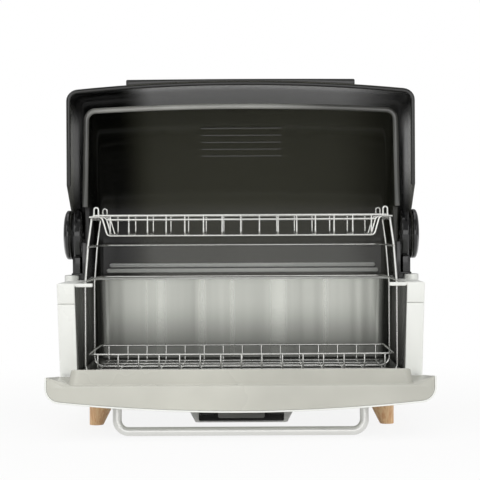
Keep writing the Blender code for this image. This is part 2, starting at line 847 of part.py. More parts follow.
def build_handle(door, aluminium, steel, handle_x):
    """A bent aluminium tube below the door's face, held by a screw up each leg."""
    leg_top = -door_depth_at(handle_x) - handle_seat
    bar_z = door_rim - handle_drop
    corners = [(-handle_x, 0, leg_top), (-handle_x, 0, bar_z), (handle_x, 0, bar_z), (handle_x, 0, leg_top)]
    path = rounded_path(corners, handle_bend_radius, steps=corner_steps + 1)
    place = (0, -handle_reach, 0)
    handle = add("door_handle", tube(path, handle_radius, (0, 1, 0), handle_sides), aluminium, door, place)
    wells = []
    for sign in (-1, 1):
        well = circle((sign * handle_x, 0), screw_radius + pin_clearance, handle_sides)
        wells.append(prism(well, leg_top - handle_screw_length, leg_top + overrun))
    combine(handle, "DIFFERENCE", several(wells))
    slope = 2 * door_bow * handle_x / (door_half - door_corner_radius) ** 2 * screw_head_radius
    seat = -door_depth_at(handle_x) + skin + slope + clearance
    for side, sign in (("left", -1), ("right", 1)):
        shank_low = leg_top + clearance - handle_screw_length
        shank = prism(circle((0, 0), screw_radius, handle_sides), shank_low, seat + screw_head_height / 2)
        screw = add(f"{side}_handle_screw", shank, steel, door, (sign * handle_x, -handle_reach, 0))
        head = circle((0, 0), screw_head_radius, handle_sides)
        combine(screw, "UNION", prism(head, seat, seat + screw_head_height))


def foot_places():
    """Where the middle of each foot's top lies."""
    x = foot_outer_x - foot_top_radius
    return [(sx * x, y) for y in (foot_inset, body_depth - foot_inset) for sx in (-1, 1)]


def build_feet(body, wood, steel):
    """Four tapered wooden feet, upright on their outer side, each with a screw from inside the base."""
    names = ("front_left", "front_right", "back_left", "back_right")
    top = body_foot_z - clearance
    for name, (x, y) in zip(names, foot_places()):
        lean = math.copysign(foot_top_radius - foot_tip_radius, x)
        bm = bmesh.new()
        rings = []
        for radius, shift, z in ((foot_tip_radius, lean, 0), (foot_top_radius, 0, top)):
            rings.append([bm.verts.new((u, v, z)) for u, v in circle((shift, 0), radius)])
            bm.faces.new(rings[-1])
        for i in range(round_sides):
            j = (i + 1) % round_sides
            bm.faces.new((rings[0][i], rings[0][j], rings[1][j], rings[1][i]))
        foot = add(f"{name}_foot", bm, wood, body, (x, y, 0))
        shank_low = top - foot_screw_length
        well = circle((0, 0), screw_radius + pin_clearance, handle_sides)
        combine(foot, "DIFFERENCE", prism(well, shank_low - clearance, top + overrun))
        seat = base_floor_z + clearance
        shank = prism(circle((0, 0), screw_radius, handle_sides), shank_low, seat + screw_head_height / 2)
        screw = add(f"{name}_foot_screw", shank, steel, body, (x, y, 0))
        head = circle((0, 0), screw_head_radius, handle_sides)
        combine(screw, "UNION", prism(head, seat, seat + screw_head_height))


def pod_half_at(z):
    """Half the pod's width at this height."""
    return pod_bottom_width / 2 + pod_side_slope * (z - pod_bottom_z)


def pod_solid(inset, low, high):
    """The pod's wedge of four sloped sides, drawn in by inset."""
    bm = bmesh.new()
    lean = (pod_front_top - pod_front_bottom) / (pod_top_z - pod_bottom_z)
    rings = []
    for z in (low, high):
        half = pod_half_at(z) - inset
        front = pod_front_bottom + lean * (z - pod_bottom_z) + inset
        outline = [(-half, front), (half, front), (half, pod_back - inset), (-half, pod_back - inset)]
        rings.append([bm.verts.new((x, y, z)) for x, y in outline])
        bm.faces.new(rings[-1])
    for i in range(4):
        j = (i + 1) % 4
        bm.faces.new((rings[0][i], rings[0][j], rings[1][j], rings[1][i]))
    return bm


def build_pod(body, grey, black, smoked, board_green):
    """The control pod, with the panel, window, buttons and circuit board square to its leaning face."""
    pod = add("control_pod", pod_solid(0, pod_bottom_z, pod_top_z), grey, body)
    combine(pod, "DIFFERENCE", pod_solid(skin, pod_floor_z, pod_top_z + overrun))
    lean = math.atan2(pod_front_top - pod_front_bottom, pod_top_z - pod_bottom_z)
    middle = (0, (pod_front_top + pod_front_bottom) / 2, (pod_top_z + pod_bottom_z) / 2)
    face = empty("pod_face", middle, -lean, body)

    panel_front = -clearance - panel_thickness
    half = panel_width / 2
    outline = rounded(half, -panel_height / 2, panel_height / 2, skin)
    panel = add("control_panel", prism(outline, panel_front, -clearance, "Y"), black, face)
    openings = []
    for sign in (-1, 1):
        openings.append(button_block(sign, clearance, -overrun, overrun / 2))
    combine(panel, "DIFFERENCE", several(openings))
    glass_back = panel_front - clearance
    glass = rounded(window_width / 2, -window_height / 2, window_height / 2, skin)
    add("display_window", prism(glass, glass_back - window_thickness, glass_back, "Y"), smoked, face)

    wells = [button_block(sign, 2 * clearance, -overrun, overrun / 2) for sign in (-1, 1)]
    for well in wells:
        well.transform(Matrix.Translation(middle) @ Matrix.Rotation(-lean, 4, "X"))
    for x in pattern((vent_slot_count - 1) * vent_slot_pitch / 2, vent_slot_pitch):
        ends = (fan_y - vent_slot_length / 2, fan_y + vent_slot_length / 2)
        if abs(x) > motor_radius:
            slot_x = (x - vent_slot_width / 2, x + vent_slot_width / 2)
            wells.append(box(slot_x, ends, (0, pod_floor_z + overrun)))
    combine(pod, "DIFFERENCE", several(wells))

    switch_front = board_depth - clearance - switch_height
    button_back = switch_front - clearance - button_travel
    for side, sign in (("left", -1), ("right", 1)):
        add(f"{side}_button", button_block(sign, 0, panel_front - button_proud, button_back), black, face)
        x_range = (sign * button_x - switch_size / 2, sign * button_x + switch_size / 2)
        switch = box(x_range, (switch_front, board_depth - clearance), (-switch_size / 2, switch_size / 2))
        add(f"{side}_switch", switch, black, face)
    board_y = (board_depth, board_depth + board_thickness)
    board = box((-board_width / 2, board_width / 2), board_y, (-board_height / 2, board_height / 2))
    plate = add("control_board", board, board_green, face)
    bosses = []
    for sign in (-1, 1):
        boss = circle((sign * board_boss_x, 0), board_boss_radius, handle_sides)
        bosses.append(prism(boss, skin + clearance, board_depth + board_thickness / 2, "Y"))
    combine(plate, "UNION", several(bosses))


def button_block(sign, gap, front, back):
    """The block of one push button, grown by gap for the hole that it moves in."""
    half_x, half_z = button_width / 2 + gap, button_height / 2 + gap
    middle = sign * button_x
    return box((middle - half_x, middle + half_x), (front, back), (-half_z, half_z))


def build_fan(body, black, steel, white):
    """The blower in the pod: motor on the floor, impeller on its shaft, and a ring wall round it."""
    base = pod_floor_z + clearance
    motor_solid = prism(circle((0, fan_y), motor_radius), base, base + motor_height)
    motor = add("fan_motor", motor_solid, steel, body)
    shaft = circle((0, fan_y), shaft_radius, handle_sides)
    combine(motor, "UNION", prism(shaft, base, base + motor_height + shaft_height))

    wheel_z = base + motor_height + impeller_gap
    wheel = empty("impeller_axis", (0, fan_y, wheel_z), 0.0, body)
    bore = shaft_radius + pin_clearance
    rim = [(impeller_radius, z) for z in (0, impeller_disc)]
    hub = [(impeller_hub_radius, z) for z in (impeller_disc, impeller_height)]
    profile = [(bore, 0), *rim, *hub, (bore, impeller_height)]
    impeller = add("impeller", turned(profile), white, wheel)
    blades = []
    for i in range(blade_count):
        ends = (blade_start, impeller_radius - impeller_disc)
        blade = box(ends, (-blade_thickness / 2, blade_thickness / 2), (impeller_disc / 2, impeller_height))
        blade.transform(Matrix.Rotation(math.tau * i / blade_count, 4, "Z"))
        blades.append(blade)
    combine(impeller, "UNION", several(blades))

    inner = shroud_radius - shroud_wall
    wall = [(inner, 0), (shroud_radius, 0), (shroud_radius, shroud_height), (inner, shroud_height)]
    add("fan_shroud", turned(wall), black, body, (0, fan_y, base))


def build_heater(body, steel, white, black):
    """The heater under the grille, its thermostat, and the cord's inlet in the back wall."""
    base = base_floor_z + clearance
    middle = (grille_front + grille_back) / 2
    ends = (middle - heater_depth / 2, middle + heater_depth / 2)
    half = heater_width / 2
    heater = add("ptc_heater", box((-half, half), ends, (base, base + heater_height)), steel, body)
    slots = []
    for x in pattern(half - heater_slot_pitch, heater_slot_pitch):
        inside = (ends[0] + heater_slot_width, ends[1] - heater_slot_width)
        slots.append(box((x - heater_slot_width / 2, x + heater_slot_width / 2), inside, (0, hub_z)))
    combine(heater, "DIFFERENCE", several(slots))
    thermostat_x = half + thermostat_gap + thermostat_radius
    thermostat = circle((thermostat_x, middle), thermostat_radius)
    add("thermostat", prism(thermostat, base, base + thermostat_height), white, body)

    body_end = skin + clearance
    collar = [(inlet_bore, -body_end), (inlet_radius, -body_end), (inlet_radius, clearance)]
    flange = [(inlet_flange_radius, z) for z in (clearance, clearance + inlet_flange)]
    profile = [*collar, *flange, (inlet_bore, clearance + inlet_flange)]
    add("power_inlet", turned(profile), black, body, (inlet_x, body_depth, inlet_z), -math.pi / 2)


def build_tray(body, grey):
    """The shallow tray on the tub floor that the racks stand in."""
    half = tray_half
    outer = rounded(half, tray_front, tray_back, tray_corner_radius)
    tray = add("drip_tray", prism(outer, tray_z, tray_z + tray_height), grey, body)
    inner_radius = tray_corner_radius - tray_skin
    inner = rounded(half - tray_skin, tray_front + tray_skin, tray_back - tray_skin, inner_radius)
    combine(tray, "DIFFERENCE", prism(inner, tray_floor_z, tray_z + tray_height + overrun))


def upright_x(z):
    """How far out the rack's uprights stand at this height."""
    if z <= upright_bend_z:
        return upright_foot_x
    if z <= upright_waist_z:
        share = (z - upright_bend_z) / (upright_waist_z - upright_bend_z)
        return upright_foot_x + (upright_waist_x - upright_foot_x) * share
    share = (z - upright_waist_z) / (upright_top_z - upright_waist_z)
    return upright_waist_x + (upright_top_x - upright_waist_x) * share


def build_rack_frame(body, wire):
    """Two bent uprights, the side rails on their tops, and two guard rails round the back."""
    foot_z = tray_floor_z + clearance + frame_wire
    hoops = []
    for y in (near_y, far_y):
        right = [(upright_x(z), y, z) for z in (foot_z, upright_bend_z, upright_waist_z, upright_top_z)]
        left = [(-x, y, z) for x, y, z in reversed(right)]
        hoops.append(tube(rounded_path([*left, *right], frame_bend_radius), frame_wire, (0, 1, 0)))
    frame = add("rack_frame", several(hoops), wire, body)
    rails = []
    for sign in (-1, 1):
        ends = [(sign * upright_top_x, y, upright_top_z) for y in (near_y - rail_tip, far_y + rail_tip)]
        rails.append(tube(ends, frame_wire, (0, 0, 1)))
    combine(frame, "UNION", several(rails))
    guards = []
    tip = near_y - rail_tip
    for z in (guard_low_z, guard_high_z):
        x = upright_x(z)
        corners = [(-x, tip, z), (-x, guard_back, z), (x, guard_back, z), (x, tip, z)]
        guards.append(tube(rounded_path(corners, guard_bend_radius), frame_wire, (0, 0, 1)))
    combine(frame, "UNION", several(guards))


def u_wires(places, front_of, back, top_z, bottom_z):
    """Wires that run down in front, back along the bottom and up behind, one at each x.

    They stand a clearance inside front and back, so that no edge of theirs meets an edge of the rim there."""
    wires = []
    back -= clearance
    for x in places:
        front = front_of(x) + clearance
        corners = [(x, front, top_z), (x, front, bottom_z), (x, back, bottom_z), (x, back, top_z)]
        wires.append(tube(rounded_path(corners, basket_bend_radius), basket_wire, (1, 0, 0), basket_sides))
    return several(wires)


def build_lower_basket(body, wire):
    """The low plate basket, whose long wires rest across the rack frame's two hoops."""
    rest_z = tray_floor_z + 2 * clearance + 2 * frame_wire + basket_wire
    cross_z = rest_z + 2 * basket_wire - weld_sink

    def front_of(x):
        return lower_front - lower_front_bow * (1 - (x / lower_half_width) ** 2)

    places = pattern(lower_half_width - lower_margin, lower_pitch)
    basket = add("lower_basket", u_wires(places, front_of, lower_back, lower_rim_z, rest_z), wire, body)
    half = lower_half_width
    bowed = [(x, front_of(x), lower_rim_z) for x in spread(-half, half, bow_steps + 1)]
    back_corners = [(half, lower_back, lower_rim_z), (-half, lower_back, lower_rim_z)]
    rim = rounded_path([*bowed, *back_corners], rim_bend_radius, closed=True)
    combine(basket, "UNION", tube(rim, rim_wire, (0, 0, 1), basket_sides, closed=True))
    cross = []
    half -= lower_margin - rail_tip
    inset = 2 * basket_bend_radius
    for y in spread(lower_front + inset, lower_back - inset, lower_cross_count):
        cross.append(tube([(-half, y, cross_z), (half, y, cross_z)], basket_wire, (0, 0, 1), basket_sides))
    combine(basket, "UNION", several(cross))


def build_upper_basket(body, wire):
    """The upper basket, whose cross wires rest on the side rails."""
    rest_z = upright_top_z + frame_wire + clearance + basket_wire
    tip = upright_top_x + upper_tip
    cross = []
    for y in spread(near_y + upper_margin, far_y - upper_margin, upper_cross_count):
        right = [(upper_bottom_half, y, upper_bottom_z), (upper_top_half, y, rest_z), (tip, y, rest_z)]
        left = [(-x, y, z) for x, y, z in reversed(right)]
        path = rounded_path([*left, *right], basket_bend_radius)
        cross.append(tube(path, basket_wire, (0, 1, 0), basket_sides))
    basket = add("upper_basket", several(cross), wire, body)
    rim_z = rest_z + basket_wire + rim_wire - weld_sink
    floor_wire_z = upper_bottom_z + 2 * basket_wire - weld_sink
    places = pattern(upper_bottom_half - upper_margin, upper_pitch)
    combine(basket, "UNION", u_wires(places, lambda x: near_y, far_y, rim_z, floor_wire_z))
    half = upper_half_width
    corners = [(-half, near_y), (half, near_y), (half, far_y), (-half, far_y)]
    loop = rounded_path([(x, y, rim_z) for x, y in corners], basket_bend_radius, closed=True)
    rims = [tube(loop, rim_wire, (0, 0, 1), basket_sides, closed=True)]
    for y in (near_y, far_y):
        low = rim_z - upper_second_rim
        ends = [(-upper_bottom_half, y, low), (upper_bottom_half, y, low)]
        rims.append(tube(ends, rim_wire, (0, 0, 1), basket_sides))
    combine(basket, "UNION", several(rims))
    hooks = []
    for sign in (-1, 1):
        for y in (near_y, far_y):
            outer = hook_x + hook_width
            profile = [(hook_x, rest_z), (hook_x, hook_top_z), (outer, hook_top_z), (outer, rest_z)]
            path = rounded_path([(sign * x, y, z) for x, z in profile], hook_width / 2)
            hooks.append(tube(path, basket_wire, (0, 1, 0), basket_sides))
    combine(basket, "UNION", several(hooks))


def main():
    for item in list(bpy.data.objects):
        bpy.data.objects.remove(item)
    white = finish("white_plastic", (0.85, 0.85, 0.82), 0.25)
    liner_grey = finish("liner_grey", (0.56, 0.56, 0.50), 0.4)
    light_grey = finish("light_grey", (0.45, 0.47, 0.45), 0.4)
    smoked = finish("smoked_plastic", (0.035, 0.037, 0.025), 0.12, alpha=0.75)
    black = finish("black_plastic", (0.01, 0.01, 0.01), 0.2)
    steel = finish("steel", (0.6, 0.6, 0.58), 0.3, 1.0)
    tub_steel = finish("tub_steel", (0.38, 0.40, 0.37), 0.35, 0.6)
    wire = finish("polished_wire", (0.8, 0.8, 0.78), 0.15, 1.0)
    aluminium = finish("satin_aluminium", (0.75, 0.75, 0.74), 0.35, 1.0)
    wood = finish("oak", (0.72, 0.42, 0.19), 0.5)
    board_green = finish("circuit_board", (0.02, 0.12, 0.05), 0.5)

    body = empty("body_front", (0, body_front_y, 0))
    build_housing(body, white)
    build_frame(body, white)
    build_liner(body, tub_steel, black)
    build_lid(body, smoked, black, steel)
    build_cover(body, smoked, light_grey)
    build_door(body, white, liner_grey, aluminium, steel, black)
    build_feet(body, wood, steel)
    build_pod(body, light_grey, black, smoked, board_green)
    build_fan(body, black, steel, white)
    build_heater(body, steel, white, black)
    build_tray(body, liner_grey)
    build_rack_frame(body, wire)
    build_lower_basket(body, wire)
    build_upper_basket(body, wire)


main()
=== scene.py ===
"""Finished surfaces and materials for a counter-top electric dish dryer with two wire racks.

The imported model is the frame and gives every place. The sizes and colours that a user would change are
on the Dish dryer panel in the 3D view's sidebar, in metres. Each operator there makes one piece, or one
group of like pieces, as a surface worked out with numpy.
"""

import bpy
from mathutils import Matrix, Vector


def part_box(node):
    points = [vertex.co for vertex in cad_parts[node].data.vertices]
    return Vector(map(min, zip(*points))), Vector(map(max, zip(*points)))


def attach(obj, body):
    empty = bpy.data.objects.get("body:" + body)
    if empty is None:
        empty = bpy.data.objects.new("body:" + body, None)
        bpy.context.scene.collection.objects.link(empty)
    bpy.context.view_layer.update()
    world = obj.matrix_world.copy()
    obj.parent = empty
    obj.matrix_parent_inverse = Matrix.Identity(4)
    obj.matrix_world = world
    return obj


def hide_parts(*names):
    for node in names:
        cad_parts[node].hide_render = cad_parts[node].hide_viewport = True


bl_info = {
    "name": "Electric dish dryer",
    "version": (1, 0, 0),
    "blender": (4, 5, 0),
    "location": "3D View > Sidebar > Dish dryer",
    "description": "Dresses a counter-top dish dryer with finished surfaces and materials",
    "category": "Add Mesh",
}

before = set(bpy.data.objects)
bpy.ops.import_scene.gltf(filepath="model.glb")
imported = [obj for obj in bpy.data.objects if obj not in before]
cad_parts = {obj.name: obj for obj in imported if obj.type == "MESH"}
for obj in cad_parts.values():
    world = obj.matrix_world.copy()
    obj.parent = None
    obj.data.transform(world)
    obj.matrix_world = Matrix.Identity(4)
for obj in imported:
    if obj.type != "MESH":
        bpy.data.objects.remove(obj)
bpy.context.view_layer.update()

import math

import bmesh
import bpy
import numpy as np
from mathutils import Vector

front_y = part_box("lower_housing")[0].y
hub_y, hub_z = (sum(corner[axis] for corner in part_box("left_hub_cap")) / 2 for axis in (1, 2))
to_front = (0, front_y, 0)
hub_place = (0, hub_y, hub_z)
door_axis = (front_y - 0.006, 0.066)
gap = 0.0003
merge_distance = 0.000002
arc_steps = 6
edge_steps = 3
dome_steps = 28
# The angle at which a round end of a wire stops short of its tip
cap_start = 84
just_over = 1.01
sharp_angle = math.radians(40)
longest_tangent = 0.499
straight_enough = 0.001
upright_order = (0, 2, 1)
sideways_order = (2, 0, 1)
# A step that starts and ends so far off, in metres, that no piece reaches it
never, beyond = 10.0, 11.0


def size(name, default, note):
    """A length on the panel."""
    return bpy.props.FloatProperty(name=name, description=note, default=default, unit="LENGTH", precision=4)


def turn_size(name, default, note):
    """An angle on the panel, its default in degrees."""
    return bpy.props.FloatProperty(
        name=name, description=note, default=math.radians(default), unit="ROTATION"
    )


def ratio(name, default, note):
    """A plain number on the panel."""
    return bpy.props.FloatProperty(name=name, description=note, default=default, precision=3)


def colour(name, default, note):
    """A colour on the panel."""
    return bpy.props.FloatVectorProperty(
        name=name, description=note, default=default, subtype="COLOR", size=3, min=0.0, max=1.0
    )


class BodySizes(bpy.types.PropertyGroup):
    """Sizes of the moulded body."""

    width: size("Width", 0.498, "Across the body at its rim")
    taper: size("Taper", 0.005, "How far each side draws in from rim to foot")
    depth: size("Depth", 0.350, "From the front plane to the back")
    foot_z: size("Underside", 0.042, "Height of the body's underside")
    seam_z: size("Seam", 0.168, "Height of the line between housing and cap")
    rim_z: size("Rim", 0.196, "Height of the body's rim")
    corner: size("Back corner", 0.025, "Radius of the two back corners")
    wall: size("Side wall", 0.024, "Width of the side walls")
    rear_wall: size("Rear wall", 0.020, "Width of the rear wall")
    edge: size("Edge", 0.0016, "Radius of the body's edges")
    skin: size("Skin", 0.0025, "Thickness of the moulding")
    sill_z: size("Sill", 0.0645, "Height of the sill under the doorway")
    boss_rise: size("Boss rise", 0.007, "How far the hinge bosses stand above the rim")
    boss_bulge: size("Boss bulge", 0.0065, "How far the hinge bosses stand out from the side")
    boss_width: size("Boss width", 0.0215, "Across each hinge boss")
    boss_length: size("Boss length", 0.062, "Length of each hinge boss from front to back")
    tab_reach: size("Tab reach", 0.024, "How far the tab at each front corner reaches over the tub")
    tab_depth: size("Tab depth", 0.012, "Length of each tab from front to back")


class TubSizes(bpy.types.PropertyGroup):
    """Sizes of the metal tub and its tray."""

    wall: size("Sheet", 0.0012, "Thickness of the tub's sheet")
    corner: size("Corner", 0.018, "Radius of the tub's back corners")
    rim_drop: size("Rim drop", 0.004, "How far the tub's rim lies under the body's rim")
    lip: size("Lip", 0.006, "Height of the lip under the doorway")
    fillet: size("Fillet", 0.006, "Radius where the walls meet the floor")
    tray_front: size("Tray front", 0.012, "Depth at which the drip tray starts")
    tray_back: size("Tray back", 0.252, "Depth at which the drip tray ends")
    tray_half: size("Tray half width", 0.2165, "From the middle to the tray's side")
    tray_height: size("Tray height", 0.012, "Height of the tray's wall")


class LidSizes(bpy.types.PropertyGroup):
    """Sizes of the lifting lid, measured from its hinge axis with the lid closed."""

    width: size("Width", 0.492, "Across the lid")
    front: size("Front", 0.2168, "From the axis to the lid's front")
    height: size("Height", 0.200, "From the axis to the lid's top")
    rim_drop: size("Rim drop", 0.064, "From the axis down to the lid's rim")
    curve_z: size("Curve start", 0.030, "Height at which the front starts to curve")
    tail: size("Tail", 0.014, "How far the lid reaches behind the axis")
    cheek: size("Cheek", 0.074, "Where the rim turns up towards the hinge")
    edge: size("Side edge", 0.015, "Radius between the roof and the cheeks")
    bow: size("Bow", 0.0128, "How far the front bulges in the middle")
    skin: size("Skin", 0.0025, "Thickness of the smoked plastic")
    band: size("Rim band", 0.0055, "Width of the band round the opening")
    band_depth: size("Rim band depth", 0.005, "Depth of the band round the opening")
    grip_width: size("Grip width", 0.323, "Across the finger grip")
    grip_reach: size("Grip reach", 0.0031, "How far the grip stands out in the middle")
    grip_bow: size("Grip bow", 0.0016, "How far the grip bulges, less than the lid that it stands on")
    grip_height: size("Grip height", 0.005, "Thickness of the grip")


class CoverSizes(bpy.types.PropertyGroup):
    """Sizes of the fixed rear cover, measured from the hinge axis."""

    width: size("Width", 0.454, "Across the cover")
    height: size("Height", 0.186, "From the axis to the cover's top")
    reach: size("Reach", 0.172, "From the axis to the cover's back")
    curve_drop: size("Curve drop", 0.010, "How far below the axis the back stops curving")
    edge: size("Side edge", 0.0165, "Radius between the roof and the cheeks")
    band: size("Front band", 0.008, "Width of the grey band on the cover's front")
    band_depth: size("Front band depth", 0.0042, "Depth of the grey band")
    slot_width: size("Slot width", 0.120, "Across the steam slots in the back")
    slot_height: size("Slot height", 0.0011, "Height of each steam slot")
    slot_pitch: size("Slot pitch", 0.010, "From one steam slot to the next")
    slot_top: size("Slot top", 0.420, "Height of the highest steam slot")
    sill_width: size("Sill bar width", 0.408, "Across the upper of the two light bars low at the back")
    sill_height: size("Sill bar height", 0.0062, "Height of each light bar")
    sill_z: size("Sill bar place", 0.2106, "Height of the upper bar's underside")
    sill_pitch: size("Sill bar pitch", 0.0082, "From one light bar down to the next")
    sill_step: size("Sill bar step", 0.0045, "How much further the lower bar reaches on each side")
    arch: size("Arch", 0.007, "How much lower the roof is at its sides than in the middle")
    arch_rise: size("Arch rise", 0.0035, "How much higher the roof is in the middle than its height")
    band_lean: size("Band lean", 0.0036, "How much wider the grey band gets towards its foot")
    band_foot: size("Band foot", 0.0411, "Height over the axis at which the grey band ends")


class HingeSizes(bpy.types.PropertyGroup):
    """Sizes of the lid's hinges."""

    radius: size("Radius", 0.0355, "Radius of the hub discs")
    draw_in: size("Draw in", 0.001, "How far the caps' faces lie inside the packed ones")
    disc_x: size("Disc place", 0.229, "From the middle to the inner disc")
    disc_width: size("Disc width", 0.012, "Thickness of the inner disc")
    leg_in: size("Leg inside", 0.2275, "From the middle to the inner face of the bracket's leg")
    leg_out: size("Leg outside", 0.2432, "From the middle to the outer face of the bracket's leg")
    heel_in: size("Heel inside", 0.2230, "From the middle to the inner face of the bracket's heel")
    heel_out: size("Heel outside", 0.2336, "From the middle to the outer face of the bracket's heel")
    leg_length: size("Leg length", 0.026, "Length of the bracket's leg from front to back")
    edge: size("Edge", 0.0028, "Radius of the discs' edges")
    groove: size("Groove", 0.0008, "Depth of the ring grooves on the caps")
    dome_share: ratio("Dome", 0.50, "Share of the cap's radius over which its edge curves away")


class DoorSizes(bpy.types.PropertyGroup):
    """Sizes of the fold-down door, measured from its hinge axis with the door flat."""

    width: size("Width", 0.490, "Across the door at its hinge")
    flare: size("Flare", 0.006, "How much wider each side is at the free edge")
    reach: size("Reach", 0.1288, "From the hinge axis to the free edge")
    end: size("End", 0.0035, "How far the door reaches behind the axis")
    rim: size("Rim", 0.005, "Height of the rim above the axis")
    side: size("Side", 0.0145, "Height of the straight part of the sides")
    corner: size("Corner", 0.0195, "Radius under each side")
    bow: size("Bow", 0.0122, "How far the face bulges in the middle")
    skin: size("Skin", 0.0023, "Thickness of the moulding")
    beam: size("Beam", 0.018, "Width of the hinge beam")
    droop: turn_size("Droop", 4.0, "How far the open door stays short of flat")
    slope: size("Slope", 0.0215, "Width of the sunken border inside")
    drop: size("Drop", 0.012, "Depth of the sunken border")
    rise: size("Rise", 0.0093, "Height of the raised field over the rim")
    field_edge: size("Field edge", 0.004, "How far the field's wall leans in")
    field_corner: size("Field corner", 0.014, "Radius of the raised field's corners")
    lug_x: size("Lug place", 0.2315, "From the middle to each hinge lug")
    lug_width: size("Lug width", 0.008, "Width of each hinge lug")
    notch: size("Notch", 0.0065, "Depth of the notch round each lug")


class HandleSizes(bpy.types.PropertyGroup):
    """Sizes of the door handle."""

    span: size("Span", 0.3246, "Across the handle")
    radius: size("Radius", 0.0057, "Radius of the tube")
    bend: size("Bend", 0.018, "Radius of the two bends")
    reach: size("Reach", 0.101, "From the hinge axis to the handle")
    drop: size("Drop", 0.0704, "From the rim's plane down to the bar")


class RackSizes(bpy.types.PropertyGroup):
    """Sizes of the wire racks."""

    frame_wire: size("Frame wire", 0.0016, "Radius of the frame's wire")
    basket_wire: size("Basket wire", 0.0012, "Radius of the baskets' wire")
    rim_wire: size("Rim wire", 0.0014, "Radius of the baskets' rims")
    near: size("Near", 0.050, "Depth of the front uprights")
    far: size("Far", 0.198, "Depth of the rear uprights")
    foot_x: size("Foot", 0.215, "From the middle to the uprights' feet")
    bend_z: size("Bend", 0.190, "Height at which the uprights lean in")
    waist_x: size("Waist", 0.2105, "From the middle to the uprights' waist")
    waist_z: size("Waist height", 0.248, "Height of the uprights' waist")
    top_x: size("Top", 0.2055, "From the middle to the side rails")
    top_z: size("Top height", 0.283, "Height of the side rails")
    tip: size("Tip", 0.003, "How far wires run past what they are welded to")
    guard_high: size("High guard", 0.245, "Height of the upper guard rail")
    guard_low: size("Low guard", 0.198, "Height of the lower guard rail")
    guard_back: size("Guard back", 0.287, "Depth of the guard rails' back")
    guard_bend: size("Guard bend", 0.020, "Radius of the guard rails' corners")
    frame_bend: size("Frame bend", 0.012, "Radius of the hoops' corners")
    weld: size("Weld", 0.0008, "How far welded wires sink into each other")
    low_rim_z: size("Low rim", 0.097, "Height of the lower basket's rim")
    low_half: size("Low half width", 0.2095, "From the middle to the lower basket's side")
    low_front: size("Low front", 0.044, "Depth of the lower basket's front")
    low_bow: size("Low bow", 0.008, "How far the lower basket's front bulges")
    low_back: size("Low back", 0.240, "Depth of the lower basket's back")
    low_pitch: size("Low pitch", 0.029, "From one long wire to the next")
    low_margin: size("Low margin", 0.012, "From the rim to the first long wire")
    basket_bend: size("Basket bend", 0.006, "Radius of the baskets' wire bends")
    rim_bend: size("Rim bend", 0.008, "Radius of the lower rim's corners")
    up_floor: size("Upper floor", 0.260, "Height of the upper basket's floor")
    up_half: size("Upper half width", 0.2035, "From the middle to the upper basket's rim")
    up_top_half: size("Upper shoulder", 0.1915, "Where the cross wires turn down")
    up_floor_half: size("Upper floor half", 0.184, "From the middle to the edge of the floor")
    up_pitch: size("Upper pitch", 0.026, "From one long wire to the next")
    up_margin: size("Upper margin", 0.004, "From the edge to the first wire")
    second_rim: size("Second rim", 0.0057, "From the rim down to the second rim wire")
    hook_top: size("Hook top", 0.299, "Height of the corner hooks")
    hook_x: size("Hook", 0.1960, "From the middle to each hook")
    hook_width: size("Hook width", 0.0062, "Width of each hook")


class FootSizes(bpy.types.PropertyGroup):
    """Sizes of the wooden feet."""

    tip_radius: size("Tip radius", 0.0095, "Radius at the table")
    top_radius: size("Top radius", 0.020, "Radius under the body")
    edge: size("Edge", 0.0009, "Radius of the foot's edges")


class PodSizes(bpy.types.PropertyGroup):
    """Sizes of the control pod."""

    bottom_z: size("Underside", 0.0078, "Height of the pod's underside")
    bottom_width: size("Bottom width", 0.1245, "Across the pod's underside")
    back: size("Back", 0.215, "Depth of the pod's back")
    front_low: size("Front low", -0.002, "Depth of the face at its lower edge")
    front_high: size("Front high", 0.010, "Depth of the face at its upper edge")
    side_slope: ratio("Side slope", 0.55, "How much wider each side gets for each length upwards")
    vent_pitch: size("Vent pitch", 0.008, "From one vent slot under the pod to the next")
    button_back: size("Button back", 0.0004, "Depth of the buttons' backs")
    corner: size("Corner", 0.004, "Radius of the pod's upright edges")
    edge: size("Edge", 0.001, "Radius of the pod's lower edge")
    panel_width: size("Panel width", 0.115, "Across the black panel")
    panel_height: size("Panel height", 0.0328, "Height of the black panel")
    panel_thickness: size("Panel thickness", 0.002, "Thickness of the black panel")
    window_width: size("Window width", 0.063, "Across the display window")
    window_height: size("Window height", 0.0255, "Height of the display window")
    window_thickness: size("Window thickness", 0.0009, "Thickness of the display window")
    button_width: size("Button width", 0.020, "Across each button")
    button_height: size("Button height", 0.016, "Height of each button")
    button_x: size("Button place", 0.0465, "From the middle to each button")
    button_proud: size("Button rise", 0.002, "How far each button stands out")


